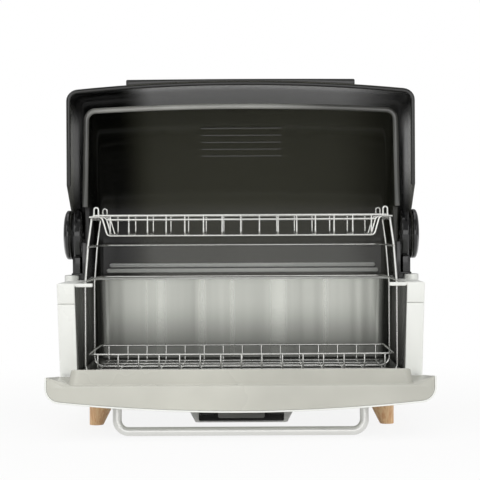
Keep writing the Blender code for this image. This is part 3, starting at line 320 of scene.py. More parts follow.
class Colours(bpy.types.PropertyGroup):
    """The object's colours."""

    white: colour("White moulding", (0.86, 0.87, 0.83), "The body and the door's outside")
    door_grey: colour("Door lining", (0.61, 0.605, 0.54), "The pressed panel inside the door")
    light_grey: colour("Light grey", (0.72, 0.73, 0.70), "The pod, the cover's band and the rear bar")
    smoke: colour("Smoked plastic", (0.0050, 0.0052, 0.0040), "The sides of the lid and the rear cover")
    # Painted light: the lighter olive that the smoked plastic turns to in its painted lit window and cheek
    # streaks
    smoke_clear: colour("Painted lit smoke", (0.066, 0.066, 0.047), "The middle of the lid and the rear cover")
    black: colour("Black plastic", (0.0035, 0.0035, 0.0038), "The hinges, panel and buttons")
    tub: colour("Tub", (0.50, 0.51, 0.47), "The tub's sheet")
    steel: colour("Steel", (0.60, 0.60, 0.58), "Pins, screws and motor")
    wire: colour("Wire", (0.86, 0.86, 0.83), "The racks")
    aluminium: colour("Aluminium", (0.78, 0.78, 0.75), "The handle")
    oak: colour("Oak", (1.0, 0.71, 0.41), "The feet")
    oak_dark: colour("Oak grain", (0.82, 0.44, 0.22), "The darker lines in the feet")
    band: colour("Lid band", (0.010, 0.010, 0.009), "The thick rim round the lid's opening")
    # Painted sheen: this light grey stands for the sheen on the rounded smoked bead
    bead: colour("Cover bead", (0.46, 0.46, 0.43), "The rounded band on the front of the rear cover")
    # Painted light: near white, lighter than the pod's own light grey, to make up for the shade under the
    # door
    pod: colour("Pod", (0.96, 0.96, 0.94), "The pod under the front")
    display: colour("Display window", (0.31, 0.31, 0.30), "The window in the black panel")
    board: colour("Circuit board", (0.02, 0.12, 0.05), "The board behind the panel")
    floor: colour("Floor", (0.88, 0.88, 0.87), "The surface that the dryer stands on")


def angles(start, end, steps):
    """Evenly spaced angles in radians, from start to end in degrees."""
    return np.radians(np.linspace(start, end, steps + 1))


def around(sides):
    """Evenly spaced angles once round a circle, without the last one."""
    return np.linspace(0, math.tau, sides, endpoint=False)


def unit(vectors):
    """The same directions with length one."""
    return vectors / np.linalg.norm(vectors, axis=-1, keepdims=True)


def rounding(edge, steps=edge_steps):
    """How far a round edge draws in and how far it has risen: edge times one minus the cosine, and edge
    times one minus the sine, of an angle that falls from 90 degrees to none."""
    turn = angles(90, 0, steps)
    return edge * (1 - np.cos(turn)), edge * (1 - np.sin(turn))


def arc(centre, radii, start, end, steps=arc_steps):
    """Centre plus the radii times the cosine and the sine of an angle that runs from start to end."""
    turn = angles(start, end, steps)
    return np.column_stack((centre[0] + radii[0] * np.cos(turn), centre[1] + radii[1] * np.sin(turn)))


def rounded(half, low, high, radius, steps=arc_steps):
    """A closed rectangle from -half to half and from low to high: four quarter circles joined by straight
    runs."""
    radius = min(radius, half, (high - low) / 2)
    radii = (radius, radius)
    return np.concatenate((
        arc((half - radius, low + radius), radii, -90, 0, steps),
        arc((half - radius, high - radius), radii, 0, 90, steps),
        arc((radius - half, high - radius), radii, 90, 180, steps),
        arc((radius - half, low + radius), radii, 180, 270, steps),
    ))


def plan(half, near, back, radius, steps=2 * arc_steps):
    """The body's plan as an open line: up the right side from near, round both back corners by quarter
    circles and down the left."""
    radii = (radius, radius)
    right = arc((half - radius, back - radius), radii, 0, 90, steps)
    left = arc((radius - half, back - radius), radii, 90, 180, steps)
    return np.concatenate(([(half, near)], right, left, [(-half, near)]))


def bent(corners, radius, steps=arc_steps, closed=False):
    """Straight runs through the corners. At each corner the path leaves the run one tangent length before it,
    and turns with the radius by the angle between the two runs."""
    corners = np.asarray(corners, float)
    path = []
    for i, corner in enumerate(corners):
        if not closed and i in (0, len(corners) - 1):
            path.append(corner[None])
            continue
        arriving, leaving = corner - corners[i - 1], corners[(i + 1) % len(corners)] - corner
        shorter = min(np.linalg.norm(arriving), np.linalg.norm(leaving)) * longest_tangent
        arriving, leaving = unit(arriving), unit(leaving)
        turn = math.acos(np.clip(arriving @ leaving, -1, 1))
        if turn < straight_enough:
            path.append(corner[None])
            continue
        run = min(radius * math.tan(turn / 2), shorter)
        bend = run / math.tan(turn / 2)
        inward = unit(leaving - arriving * (arriving @ leaving))
        t = np.linspace(0, turn, steps + 1)[:, None]
        path.append(corner - arriving * run + bend * (np.sin(t) * arriving + (1 - np.cos(t)) * inward))
    return np.concatenate(path)


def normals(line, closed=False):
    """At each point of a flat line, the unit direction to the right of where it is heading."""
    if closed:
        ahead = np.roll(line, -1, 0) - np.roll(line, 1, 0)
    else:
        ahead = np.gradient(line, axis=0)
    ahead = unit(ahead)
    return np.column_stack((ahead[:, 1], -ahead[:, 0]))


def walled(outer, inner, low, high, edges, closed=False, end_edge=None, steps=edge_steps):
    """A wall between two matching lines. Its section at each place is a rectangle from the outer to the inner
    point and from low to high, whose low and high corners are round with the two edges' radii. At the ends of
    an open wall the section is drawn in by end_edge times one minus a cosine, which rounds the ends too."""
    low_edge, high_edge = edges
    end_edge = high_edge if end_edge is None else end_edge
    inset = np.zeros(len(outer))
    if not closed:
        drawn_in, away = rounding(end_edge, steps)
        away = away[:, None]

        def with_ends(line):
            """The line with each end point replaced by points that run in from it by the rounding."""
            head = line[0] + unit(line[1] - line[0]) * away
            tail = line[-1] + unit(line[-2] - line[-1]) * away[::-1]
            return np.concatenate((head, line[1:-1], tail))

        inset = np.concatenate((drawn_in, inset[2:], drawn_in[::-1]))
        outer, inner = with_ends(outer), with_ends(inner)
    inward = unit(inner - outer)[:, None]
    turns = np.concatenate([angles(start, start + 90, steps) for start in (180, 270, 0, 90)])
    at_inner = np.repeat([False, True, True, False], steps + 1)[None, :, None]
    at_high = np.repeat([False, False, True, True], steps + 1)[None]
    edge = np.where(at_high, high_edge, low_edge)
    in_by = np.maximum(edge, inset[:, None])
    radius = np.maximum(edge - inset[:, None], 0)
    inset_line = inward * in_by[..., None]
    centre = np.where(at_inner, inner[:, None] - inset_line, outer[:, None] + inset_line)
    across = centre + inward * (radius * np.cos(turns))[..., None]
    height = np.where(at_high, high - in_by, low + in_by) + radius * np.sin(turns)
    return surface(np.dstack((across, height)), across=True, along=closed, ends=not closed)


def slab(outline, low, high, edge):
    """A plate from low to high: rings of the closed outline, drawn in along its normals as the height moves,
    both by the rounding of its edge."""
    inward = -normals(outline, closed=True)
    inset, rise = rounding(edge)
    insets = np.concatenate((inset, inset[::-1]))[:, None, None]
    heights = np.concatenate((low + rise, high - rise[::-1]))
    rings = outline[None] + inward[None] * insets
    levels = np.broadcast_to(heights[:, None, None], (*rings.shape[:2], 1))
    return surface(np.concatenate((rings, levels), -1), across=True, ends=True)


def brick(x_range, y_range, z_range, edge):
    """A box with round edges. Its upright corners are just rounder than the edge, by which they are drawn
    in."""
    (left, right), (near, back) = x_range, y_range
    middle, half = (left + right) / 2, (right - left) / 2
    outline = rounded(half, near, back, edge * just_over, edge_steps) + (middle, 0)
    return slab(outline, *z_range, edge)


def turned(profile, sides=64):
    """A round part: each (radius, height) of the closed profile goes round the third axis."""
    turn = around(sides)[:, None]
    radius, height = profile[:, 0], profile[:, 1]
    height = np.broadcast_to(height, (sides, len(height)))
    rings = np.stack((radius * np.cos(turn), radius * np.sin(turn), height), -1)
    return surface(rings, across=True, along=True)


def tube(path, radius, up, sides=10, closed=False, cap_steps=3):
    """A round wire: a circle in the plane of up and the path's side, carried along the path. At the ends of
    an open one the circle shrinks as a cosine while it moves on as a sine, which makes a half ball."""
    path, up = np.asarray(path, float), unit(np.asarray(up, float))
    if closed:
        ahead = unit(np.roll(path, -1, 0) - np.roll(path, 1, 0))
    else:
        ahead = unit(np.gradient(path, axis=0))
    radii = np.full(len(path), radius)
    if not closed:
        turn = angles(cap_start, 0, cap_steps)[:-1]
        reach = (radius * np.sin(turn))[:, None]
        head, tail = path[0] - ahead[0] * reach, path[-1] + ahead[-1] * reach[::-1]
        path = np.concatenate((head, path, tail))
        ahead = np.concatenate((ahead[:1].repeat(cap_steps, 0), ahead, ahead[-1:].repeat(cap_steps, 0)))
        radii = np.concatenate((radius * np.cos(turn), radii, (radius * np.cos(turn))[::-1]))
    side = unit(np.cross(ahead, up))
    turn = around(sides)[None, :, None]
    rings = path[:, None] + radii[:, None, None] * (np.cos(turn) * up + np.sin(turn) * side[:, None])
    return surface(rings, across=True, along=closed, ends=not closed)


def hood_skin(profile, half, radius, bow=0.0, reach=1.0, columns=24):
    """A hood: the (y, z) profile carried across X. Towards each side the skin turns down by a quarter circle
    of the radius, measured along the profile's normal. The bow sets points back by the square of their share
    of half, in proportion to how far forward they lie. Gives points as rows along the profile."""
    normal = -normals(profile)
    turn = angles(0, 90, arc_steps)
    side_x, side_inset = half - radius + radius * np.cos(turn), radius * (1 - np.sin(turn))
    middle = np.linspace(radius - half, half - radius, columns)[1:-1]
    x = np.concatenate((-side_x, middle, side_x[::-1]))
    inset = np.concatenate((side_inset, np.zeros(len(middle)), side_inset[::-1]))
    flat = profile[:, None] - normal[:, None] * inset[None, :, None]
    points = np.dstack((np.broadcast_to(x, flat.shape[:2]), flat))
    return bowed(points, half, bow, reach)


def hood(skin, lower):
    """A hood's skin with a flat cheek on each side. Lower gives a cheek's lower edge from the side's sign."""
    cheeks = [leaf(np.concatenate((skin[:, column], lower(sign)))) for column, sign in ((0, -1), (-1, 1))]
    return [surface(skin), *cheeks]


def bowed(points, half, bow, reach):
    """Set points back by bow, times how far forward they lie, times the square of their share of half."""
    points = points.copy()
    points[..., 1] += bow * np.clip(-points[..., 1] / reach, 0, None) * (points[..., 0] / half) ** 2
    return points


def surface(points, across=False, along=False, ends=False):
    """The vertices and faces of a grid of points. It can be closed across its columns, along its rows, or at
    its ends."""
    rows, columns = points.shape[:2]
    index = np.arange(rows * columns).reshape(rows, columns)
    last = index[-1].tolist()
    if along:
        index = np.vstack((index, index[:1]))
    if across:
        index = np.hstack((index, index[:, :1]))
    quads = np.stack((index[:-1, :-1], index[:-1, 1:], index[1:, 1:], index[1:, :-1]), -1)
    quads = quads.reshape(-1, 4).tolist()
    if ends:
        quads += [list(range(columns))[::-1], last]
    return points.reshape(-1, 3), quads


def leaf(points):
    """One flat face through the points."""
    return np.asarray(points, float), [list(range(len(points)))]


def ring_at(outline, z):
    """A flat outline at one height, or with a height for each point."""
    return np.column_stack((outline, np.broadcast_to(z, len(outline))))


def bowl(rings, floor=-1):
    """A skin through closed rings of points, with a flat face in one of them."""
    return [surface(np.array(rings), across=True), leaf(rings[floor])]


def moved(part, order=(0, 1, 2), shift=(0, 0, 0), about_x=0.0, centre=(0, 0)):
    """A part with its axes taken in another order, turned about an axis along X through centre, and moved."""
    verts, faces = part
    verts = verts[:, list(order)]
    cosine, sine = math.cos(about_x), math.sin(about_x)
    y, z = verts[:, 1], verts[:, 2]
    y, z = centre[0] + y * cosine - z * sine, centre[1] + y * sine + z * cosine
    return np.column_stack((verts[:, 0], y, z)) + np.asarray(shift, float), faces


def all_moved(parts, *order, **how):
    """Several parts, each moved in the same way."""
    return [moved(part, *order, **how) for part in parts]


def joined(parts):
    """Several parts as one list of vertices and one of faces."""
    verts, faces, start = [], [], 0
    for part_verts, part_faces in parts:
        verts.append(part_verts)
        faces += [[start + i for i in face] for face in part_faces]
        start += len(part_verts)
    return np.concatenate(verts), faces


def mesh_of(name, parts, out=None):
    """One mesh from parts, its doubled points merged and its faces turned outwards. Out is the side that an
    open skin faces on the whole."""
    verts, faces = joined(parts)
    mesh = bpy.data.meshes.new(name)
    mesh.from_pydata(verts.tolist(), [], faces)
    bm = bmesh.new()
    bm.from_mesh(mesh)
    bmesh.ops.remove_doubles(bm, verts=bm.verts, dist=merge_distance)
    bmesh.ops.dissolve_degenerate(bm, dist=merge_distance / 2, edges=bm.edges)
    bmesh.ops.recalc_face_normals(bm, faces=bm.faces)
    if out and sum(face.normal.dot(out) * face.calc_area() for face in bm.faces) < 0:
        bmesh.ops.reverse_faces(bm, faces=bm.faces)
    bm.to_mesh(mesh)
    bm.free()
    return mesh


def add_object(name, data):
    """A named object in the scene that shows the mesh, lamp or camera."""
    made = bpy.data.objects.new(name, data)
    bpy.context.scene.collection.objects.link(made)
    return made


def smoothed(mesh):
    """Shade a mesh smooth, but for its sharp edges."""
    mesh.shade_smooth()
    mesh.set_sharp_from_angle(angle=sharp_angle)


def piece(name, parts, body, finish, replaces=(), thickness=0.0, out=None, even=True):
    """Make a named object from parts, facing outwards, that rides on a body. An open skin gets a wall of this
    thickness behind it."""
    old = bpy.data.objects.get(name)
    if old:
        bpy.data.objects.remove(old)
    mesh = mesh_of(name, parts, out)
    smoothed(mesh)
    mesh.materials.append(material(finish))
    made = add_object(name, mesh)
    if thickness:
        wall = made.modifiers.new("Wall", "SOLIDIFY")
        wall.thickness = thickness
        wall.offset = -1.0
        wall.use_even_offset = even
    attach(made, body)
    if replaces:
        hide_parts(*replaces)
    return made


def cut(made, parts):
    """Cut closed parts out of a piece, and keep the result as its mesh."""
    cutter = add_object("cutter", mesh_of("cutter", parts))
    modifier = made.modifiers.new("Cut", "BOOLEAN")
    modifier.operation = "DIFFERENCE"
    modifier.solver = "EXACT"
    modifier.object = cutter
    bpy.context.view_layer.update()
    evaluated = made.evaluated_get(bpy.context.evaluated_depsgraph_get())
    result = bpy.data.meshes.new_from_object(evaluated)
    made.modifiers.clear()
    made.data = result
    smoothed(result)
    bpy.data.objects.remove(cutter)


def add_node(tree, kind, inputs=(), **settings):
    """A shader node. Inputs maps a socket's name or number to a value, or to another node's output."""
    made = tree.nodes.new(f"ShaderNode{kind}")
    for key, value in settings.items():
        setattr(made, key, value)
    for key, value in dict(inputs).items():
        if isinstance(value, bpy.types.NodeSocket):
            tree.links.new(value, made.inputs[key])
        else:
            made.inputs[key].default_value = value
    return made


def output(tree, kind, inputs=(), which=0, **settings):
    """One output, by its name or number, of a new shader node."""
    return add_node(tree, kind, inputs, **settings).outputs[which]


def maths(tree, operation, first, second=0.0):
    """The result of one sum on two numbers."""
    return output(tree, "Math", {0: first, 1: second}, operation=operation)


def ramp(tree, value, start=0.0, end=1.0, low=0.0, high=1.0, **settings):
    """A number that goes from low to high as value goes from start to end."""
    inputs = {"Value": value, "From Min": start, "From Max": end, "To Min": low, "To Max": high}
    return output(tree, "MapRange", inputs, **settings)


def noise(tree, place, scale, detail, **more):
    """A cloudy number between nought and one."""
    return output(tree, "TexNoise", {"Vector": place, "Scale": scale, "Detail": detail, **more})


def stretched(tree, place, scales):
    """A place with each axis multiplied by its own scale."""
    return output(tree, "VectorMath", {0: place, 1: scales}, operation="MULTIPLY")


def effect(name, inputs, results):
    """An empty shader node group with number or vector inputs and number outputs, what it is given, its
    outputs' sockets and the place on the object."""
    tree = bpy.data.node_groups.new(name, "ShaderNodeTree")
    for label, value in inputs.items():
        kind = "NodeSocketFloat" if isinstance(value, float) else "NodeSocketVector"
        tree.interface.new_socket(label, in_out="INPUT", socket_type=kind).default_value = value
    for label in results:
        tree.interface.new_socket(label, in_out="OUTPUT", socket_type="NodeSocketFloat")
    given, out = tree.nodes.new("NodeGroupInput").outputs, tree.nodes.new("NodeGroupOutput").inputs
    return tree, given, out, output(tree, "TexCoord", which="Object")


def finished_effect(tree, out, results):
    """Link the results to a group's outputs, in their order."""
    for socket, result in zip(out, results):
        tree.links.new(result, socket)
    return tree


def moulded_grain():
    """Moulded plastic: a fine even grain, and slow clouds for colour and gloss."""
    tree, given, out, place = effect("moulded_grain", {"Fine": 2400.0, "Broad": 16.0}, ("Grain", "Clouds"))
    fine = noise(tree, place, given["Fine"], 3.0)
    broad = noise(tree, place, given["Broad"], 4.0)
    return finished_effect(tree, out, (fine, ramp(tree, broad, 0.35, 0.65)))


def drawn_grain():
    """Drawn or brushed metal: noise stretched along one axis, once fine and once broad."""
    inputs = {"Stretch": (40.0, 900.0, 900.0), "Broad": 0.03}
    tree, given, out, place = effect("drawn_grain", inputs, ("Grain", "Clouds"))
    along = stretched(tree, place, given["Stretch"])
    lines = noise(tree, along, 1.0, 3.0)
    broad = noise(tree, along, given["Broad"], 2.0)
    return finished_effect(tree, out, (lines, ramp(tree, broad, 0.35, 0.65)))


def wood_grain():
    """Upright oak: growth lines from noise stretched along Z, bent by slow waves, and fine open pores."""
    inputs = {"Lines": (420.0, 420.0, 14.0), "Pores": (1500.0, 1500.0, 60.0)}
    tree, given, out, place = effect("wood_grain", inputs, ("Grain", "Clouds"))
    lines = noise(tree, stretched(tree, place, given["Lines"]), 1.0, 4.0, Distortion=0.8)
    pores = noise(tree, stretched(tree, place, given["Pores"]), 1.0, 2.0)
    return finished_effect(tree, out, (pores, ramp(tree, lines, 0.38, 0.66)))


def smoke_density():
    """Painted light on smoked plastic: it lets the most light through, and turns to its lighter colour, in a
    lit window in its middle and in a lit streak in the middle of each of the lid's cheeks; elsewhere it is
    denser and darker. Smooth steps along each axis, multiplied, blend Dense into Clear. The right cheek's
    painted streak is brighter than the left one."""
    inputs = {"Clear": 0.86, "Dense": 0.985}
    tree, given, out, place = effect("smoke_density", inputs, ("Opacity", "Clearness"))
    x, y, z = add_node(tree, "SeparateXYZ", {0: place}).outputs

    def window(*steps):
        """Smooth steps multiplied together, each a value, where it starts and where it ends."""
        share = 1.0
        for value, start, end in steps:
            step = ramp(tree, value, start, end, interpolation_type="SMOOTHSTEP")
            share = maths(tree, "MULTIPLY", share, step)
        return share

    side = maths(tree, "ABSOLUTE", x)
    # Painted highlight: a lit streak in the middle of each cheek, brightened towards the right by the ramp on
    # x
    cheek = window((side, 0.238, 0.243), (y, -0.03, 0.03), (y, 0.22, 0.14), (z, 0.27, 0.37), (z, 0.46, 0.41))
    cheek = maths(tree, "MULTIPLY", cheek, ramp(tree, x, -0.2, 0.2, 1.0, 1.4))
    # Painted light: the lit middle window, reaching further right than left, joined with the cheek streaks
    clear = maths(tree, "MAXIMUM", window((x, -0.185, -0.130), (x, 0.27, 0.14)), cheek)
    opacity = ramp(tree, clear, low=given["Dense"], high=given["Clear"], clamp=False)
    return finished_effect(tree, out, (opacity, clear))


def placed_shade():
    """Painted shade: where a finish turns to its darker colour to stand for shade, by a smooth step along
    each axis between From and To, of which the largest counts. Fold at 1 takes the two sides alike."""
    inputs = {"Fold": 1.0, "From": (never, never, never), "To": (beyond, beyond, beyond)}
    tree, given, out, place = effect("placed_shade", inputs, ("Shade",))
    folded = output(tree, "VectorMath", {0: place}, operation="ABSOLUTE")
    used = output(tree, "Mix", {0: given["Fold"], 4: place, 5: folded}, 1, data_type="VECTOR")
    steps = output(tree, "MapRange", {6: used, 7: given["From"], 8: given["To"]}, 1,
                   data_type="FLOAT_VECTOR", interpolation_type="SMOOTHSTEP")
    x, y, z = add_node(tree, "SeparateXYZ", {0: steps}).outputs
    return finished_effect(tree, out, (maths(tree, "MAXIMUM", maths(tree, "MAXIMUM", x, y), z),))


def finish(grain, values, colour, second, rough, bump, **more):
    """One row of the table of finishes. The values go into the grain's group in their order. Second is the
    colour that the clouds turn to, as a colour's name or as a share of the first; in the smoked finishes
    painted light blends into it instead of the clouds. Rough gives the least and the most roughness. Shade
    holds the darker colour's share, where shade is painted, and the values of its painted shade mask."""
    return {
        "grain": grain, "values": values, "colour": colour, "second": second, "rough": rough, "bump": bump,
        **more,
    }


finishes = {
    "white_plastic": finish(moulded_grain, (2600.0, 11.0), "white", 0.97, (0.26, 0.34), 0.035, coat=0.15),
    # Painted reflection: the lining's broad soft clouds, down to 0.80 of its colour, stand for reflections on
    # its gloss
    "door_grey": finish(moulded_grain, (1900.0, 5.0), "door_grey", 0.80, (0.22, 0.34), 0.05, coat=0.1),
    "light_grey": finish(moulded_grain, (2200.0, 14.0), "light_grey", 0.93, (0.32, 0.42), 0.05),
    "pod_grey": finish(moulded_grain, (2200.0, 14.0), "pod", 0.94, (0.30, 0.40), 0.04),
    # The smoked finishes blend smoke into smoke_clear, and set their alpha, by painted light
    "smoked_plastic": finish(moulded_grain, (420.0, 6.0), "smoke", "smoke_clear", (0.07, 0.13), 0.006,
                             gloss=0.3, alpha=(0.70, 0.98)),
    "smoked_cover": finish(moulded_grain, (420.0, 6.0), "smoke", "smoke_clear", (0.08, 0.15), 0.006,
                           gloss=0.3, alpha=(0.80, 0.985)),
    # Painted shade: the bead's right side and both upright legs darken, against a light grey that stands for
    # painted sheen
    "cover_bead": finish(moulded_grain, (900.0, 9.0), "bead", 0.7, (0.14, 0.22), 0.01, coat=0.5,
                         shade=(0.25, (0.0, (0.0, never, 0.447), (0.15, beyond, 0.425)))),
    "smoked_band": finish(moulded_grain, (900.0, 9.0), "band", 0.85, (0.16, 0.24), 0.01, coat=0.3),
    "display_glass": finish(moulded_grain, (500.0, 20.0), "display", 0.8, (0.05, 0.10), 0.004, coat=0.5),
    "black_plastic": finish(moulded_grain, (1800.0, 20.0), "black", 1.8, (0.12, 0.20), 0.02, coat=0.4),
    "dark_plastic": finish(moulded_grain, (1800.0, 20.0), "black", 2.4, (0.38, 0.50), 0.06),
    "circuit_board": finish(moulded_grain, (900.0, 200.0), "board", 0.6, (0.35, 0.55), 0.05),
    "steel": finish(drawn_grain, ((60.0, 700.0, 700.0), 0.04), "steel", 0.85, (0.24, 0.36), 0.03,
                    metallic=1.0),
    # Painted shade: the tub's side walls and the foot of its rear wall darken, and the sides also as a
    # painted dark reflection
    "tub_steel": finish(drawn_grain, ((900.0, 900.0, 9.0), 0.032), "tub", 0.88, (0.22, 0.36), 0.03,
                        metallic=0.85, edge=0.3,
                        shade=(0.30, (1.0, (0.196, never, 0.165), (0.214, beyond, 0.080)))),
    "polished_wire": finish(drawn_grain, ((300.0, 300.0, 300.0), 0.04), "wire", 0.90, (0.16, 0.26), 0.01,
                            metallic=0.85),
    "satin_aluminium": finish(drawn_grain, ((50.0, 1500.0, 1500.0), 0.01), "aluminium", 0.93, (0.30, 0.40),
                              0.03, metallic=0.9),
    "oak": finish(wood_grain, (), "oak", "oak_dark", (0.42, 0.55), 0.15),
}


def placed_group(tree, make, values):
    """The outputs of a group that make builds once, with these values in its inputs."""
    made = add_node(tree, "Group", node_tree=bpy.data.node_groups.get(make.__name__) or make())
    for socket, value in zip(made.inputs, values):
        socket.default_value = value
    return made.outputs


def material(name):
    """The named finish: a Principled surface whose colour, gloss and bump vary with its grain. Smoked
    finishes take their colour's blend and their alpha from painted light, and rows with a shade darken their
    colour by painted shade.
    """
    label = f"{name}_finish"
    if label in bpy.data.materials:
        return bpy.data.materials[label]
    look = finishes[name]
    colours = bpy.context.scene.dryer_colours
    made = bpy.data.materials.new(label)
    made.use_nodes = True
    tree = made.node_tree
    shader = tree.nodes["Principled BSDF"]
    grain = placed_group(tree, look["grain"], look["values"])
    base = tuple(getattr(colours, look["colour"]))
    second = look["second"]
    other = tuple(getattr(colours, second)) if isinstance(second, str) else tuple(c * second for c in base)
    share = grain["Clouds"]
    # Smoked finishes: painted light sets the alpha and blends the colour
    if "alpha" in look:
        smoke = placed_group(tree, smoke_density, look["alpha"])
        tree.links.new(smoke["Opacity"], shader.inputs["Alpha"])
        share = smoke["Clearness"]
    paint = output(tree, "Mix", {0: share, 6: (*base, 1.0), 7: (*other, 1.0)}, 2, data_type="RGBA")
    # Painted shade: the colour darkens where the row's shade mask lies
    if "shade" in look:
        darker, values = look["shade"]
        shade = placed_group(tree, placed_shade, values)["Shade"]
        shaded = (*(c * darker for c in base), 1.0)
        paint = output(tree, "Mix", {0: shade, 6: paint, 7: shaded}, 2, data_type="RGBA")
    low, high = look["rough"]
    bump = output(tree, "Bump", {"Height": grain["Grain"], "Strength": look["bump"], "Distance": 0.001})
    gloss = ramp(tree, grain["Clouds"], low=low, high=high)
    for socket, result in (("Base Color", paint), ("Roughness", gloss), ("Normal", bump)):
        tree.links.new(result, shader.inputs[socket])
    for socket, value in (
        ("Metallic", look.get("metallic", 0.0)),
        ("Coat Weight", look.get("coat", 0.0)),
        ("Coat Roughness", 0.08),
        ("Specular IOR Level", look.get("gloss", 0.5)),
        ("Specular Tint", (*(look.get("edge", 1.0),) * 3, 1.0)),
    ):
        shader.inputs[socket].default_value = value
    return made


def tapered(part, body):
    """Draw a part's sides in by the body's taper, in proportion to how far it lies below the rim."""
    verts, faces = part
    verts = verts.copy()
    share = body.taper / (body.rim_z - body.foot_z) / (body.width / 2)
    verts[:, 0] -= share * (body.rim_z - verts[:, 2]) * verts[:, 0]
    return verts, faces


def in_body(body, parts):
    """Parts drawn from the front plane back, tapered with the body and moved to their place."""
    return [moved(tapered(part, body), shift=to_front) for part in parts]


class DRYER_OT_body(bpy.types.Operator):
    """Make the housing, the cap over its seam with the hinge bosses, and the base plate"""

    bl_idname = "dryer.body"
    bl_label = "Body"

    def execute(self, context):
        body, tub, pod = context.scene.dryer_body, context.scene.dryer_tub, context.scene.dryer_pod
        half, seam_edge, skin = body.width / 2, body.edge / 4, body.skin
        outer = plan(half, 0, body.depth, body.corner)
        inner = plan(half - body.wall, 0, body.depth - body.rear_wall, tub.corner)
        bucket = walled(outer, inner, body.foot_z, body.seam_z, (body.edge, seam_edge), end_edge=body.edge)
        sill_half = half - body.wall
        sill = brick((-sill_half, sill_half), (0, skin), (body.foot_z, body.sill_z), body.edge / 3)
        piece("housing_shell", in_body(body, (bucket, sill)), "housing", "white_plastic",
              replaces=["lower_housing"])

        plate = slab(inner, body.foot_z, body.foot_z + skin, skin / 4)
        base = piece("base_plate", in_body(body, [plate]), "housing", "white_plastic")
        hole_half = pod.bottom_width / 2 - skin
        hole = brick((-hole_half, hole_half), (body.wall, pod.back - body.wall / 2), (0, body.sill_z), skin)
        cut(base, [moved(hole, shift=to_front)])

        cap = walled(outer, inner, body.seam_z + gap, body.rim_z, (seam_edge, body.edge), end_edge=body.edge)
        parts = in_body(body, [cap])
        boss_half, boss_sides = body.boss_width / 2, 48
        tab_ends = (half - body.wall - body.tab_reach, half - body.wall + skin)
        tab_y = (front_y + skin, front_y + skin + body.tab_depth)
        for side in (-1, 1):
            middle = (side * (half + body.boss_bulge - boss_half), hub_y)
            outline = arc(middle, (boss_half, body.boss_length / 2), 0, 360, boss_sides)[:-1]
            parts.append(slab(outline, body.seam_z + 2 * gap, body.rim_z + body.boss_rise, body.edge / 2))
            tab_x = sorted(side * end for end in tab_ends)
            parts.append(brick(tab_x, tab_y, (body.rim_z - 2 * skin, body.rim_z - gap), skin / 4))
        piece("frame_cap", parts, "housing", "white_plastic", replaces=["upper_frame"])
        return {"FINISHED"}


class DRYER_OT_tub(bpy.types.Operator):
    """Make the metal tub with its round back corners, and the drip tray"""

    bl_idname = "dryer.tub"
    bl_label = "Tub and tray"

    def execute(self, context):
        body, tub = context.scene.dryer_body, context.scene.dryer_tub
        half = body.width / 2 - body.wall - gap - tub.wall
        near, back = gap + tub.wall, body.depth - body.rear_wall - gap - tub.wall
        floor_z = body.sill_z + gap + tub.wall
        top = body.rim_z - tub.rim_drop
        turn = angles(0, 90, arc_steps)
        inset = np.concatenate(([0.0], tub.fillet * (1 - np.cos(turn))))
        level = np.concatenate(([top], floor_z + tub.fillet * (1 - np.sin(turn))))
        rings = []
        for drawn_in, z in zip(inset, level):
            wall = plan(half - drawn_in, near + drawn_in, back - drawn_in, tub.corner - drawn_in)
            reach = half - drawn_in - gap
            front = np.array([(-reach, near + drawn_in), (reach, near + drawn_in)])
            heights = np.append(np.full(len(wall), z), np.full(2, min(z, floor_z + tub.lip)))
            rings.append(ring_at(np.concatenate((wall, front)), heights))
        made = piece("tub_shell", in_body(body, bowl(rings)), "housing", "tub_steel", replaces=["tub_liner"],
                     thickness=tub.wall, out=(0, -1, 1), even=False)
        low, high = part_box("air_grille")
        inside = 0.004
        hole = brick((low.x + inside, high.x - inside), (low.y + inside, high.y - inside),
                     (floor_z - inside, low.z - gap / 3), inside / 2)
        cut(made, [hole])

        wall = tub.wall
        corner, least_corner = 0.012, 0.002
        line = bent([(0, tub.tray_height), (wall, 0), (4 * tub.fillet, 0)], tub.fillet / 2)
        rings = []
        for drawn_in, z in line:
            inset = wall + drawn_in
            outline = rounded(tub.tray_half - wall - drawn_in, tub.tray_front + wall + drawn_in,
                              tub.tray_back - wall - drawn_in, max(corner - drawn_in, least_corner))
            rings.append(ring_at(outline, floor_z + gap + wall + z - wall * z / tub.tray_height))
        # The tray takes the tub's finish, and with it the painted shade low in the tub
        piece("tray_shell", all_moved(bowl(rings), shift=to_front), "tray", "tub_steel",
              ["drip_tray"], thickness=wall, out=(0, 0, 1))
        return {"FINISHED"}


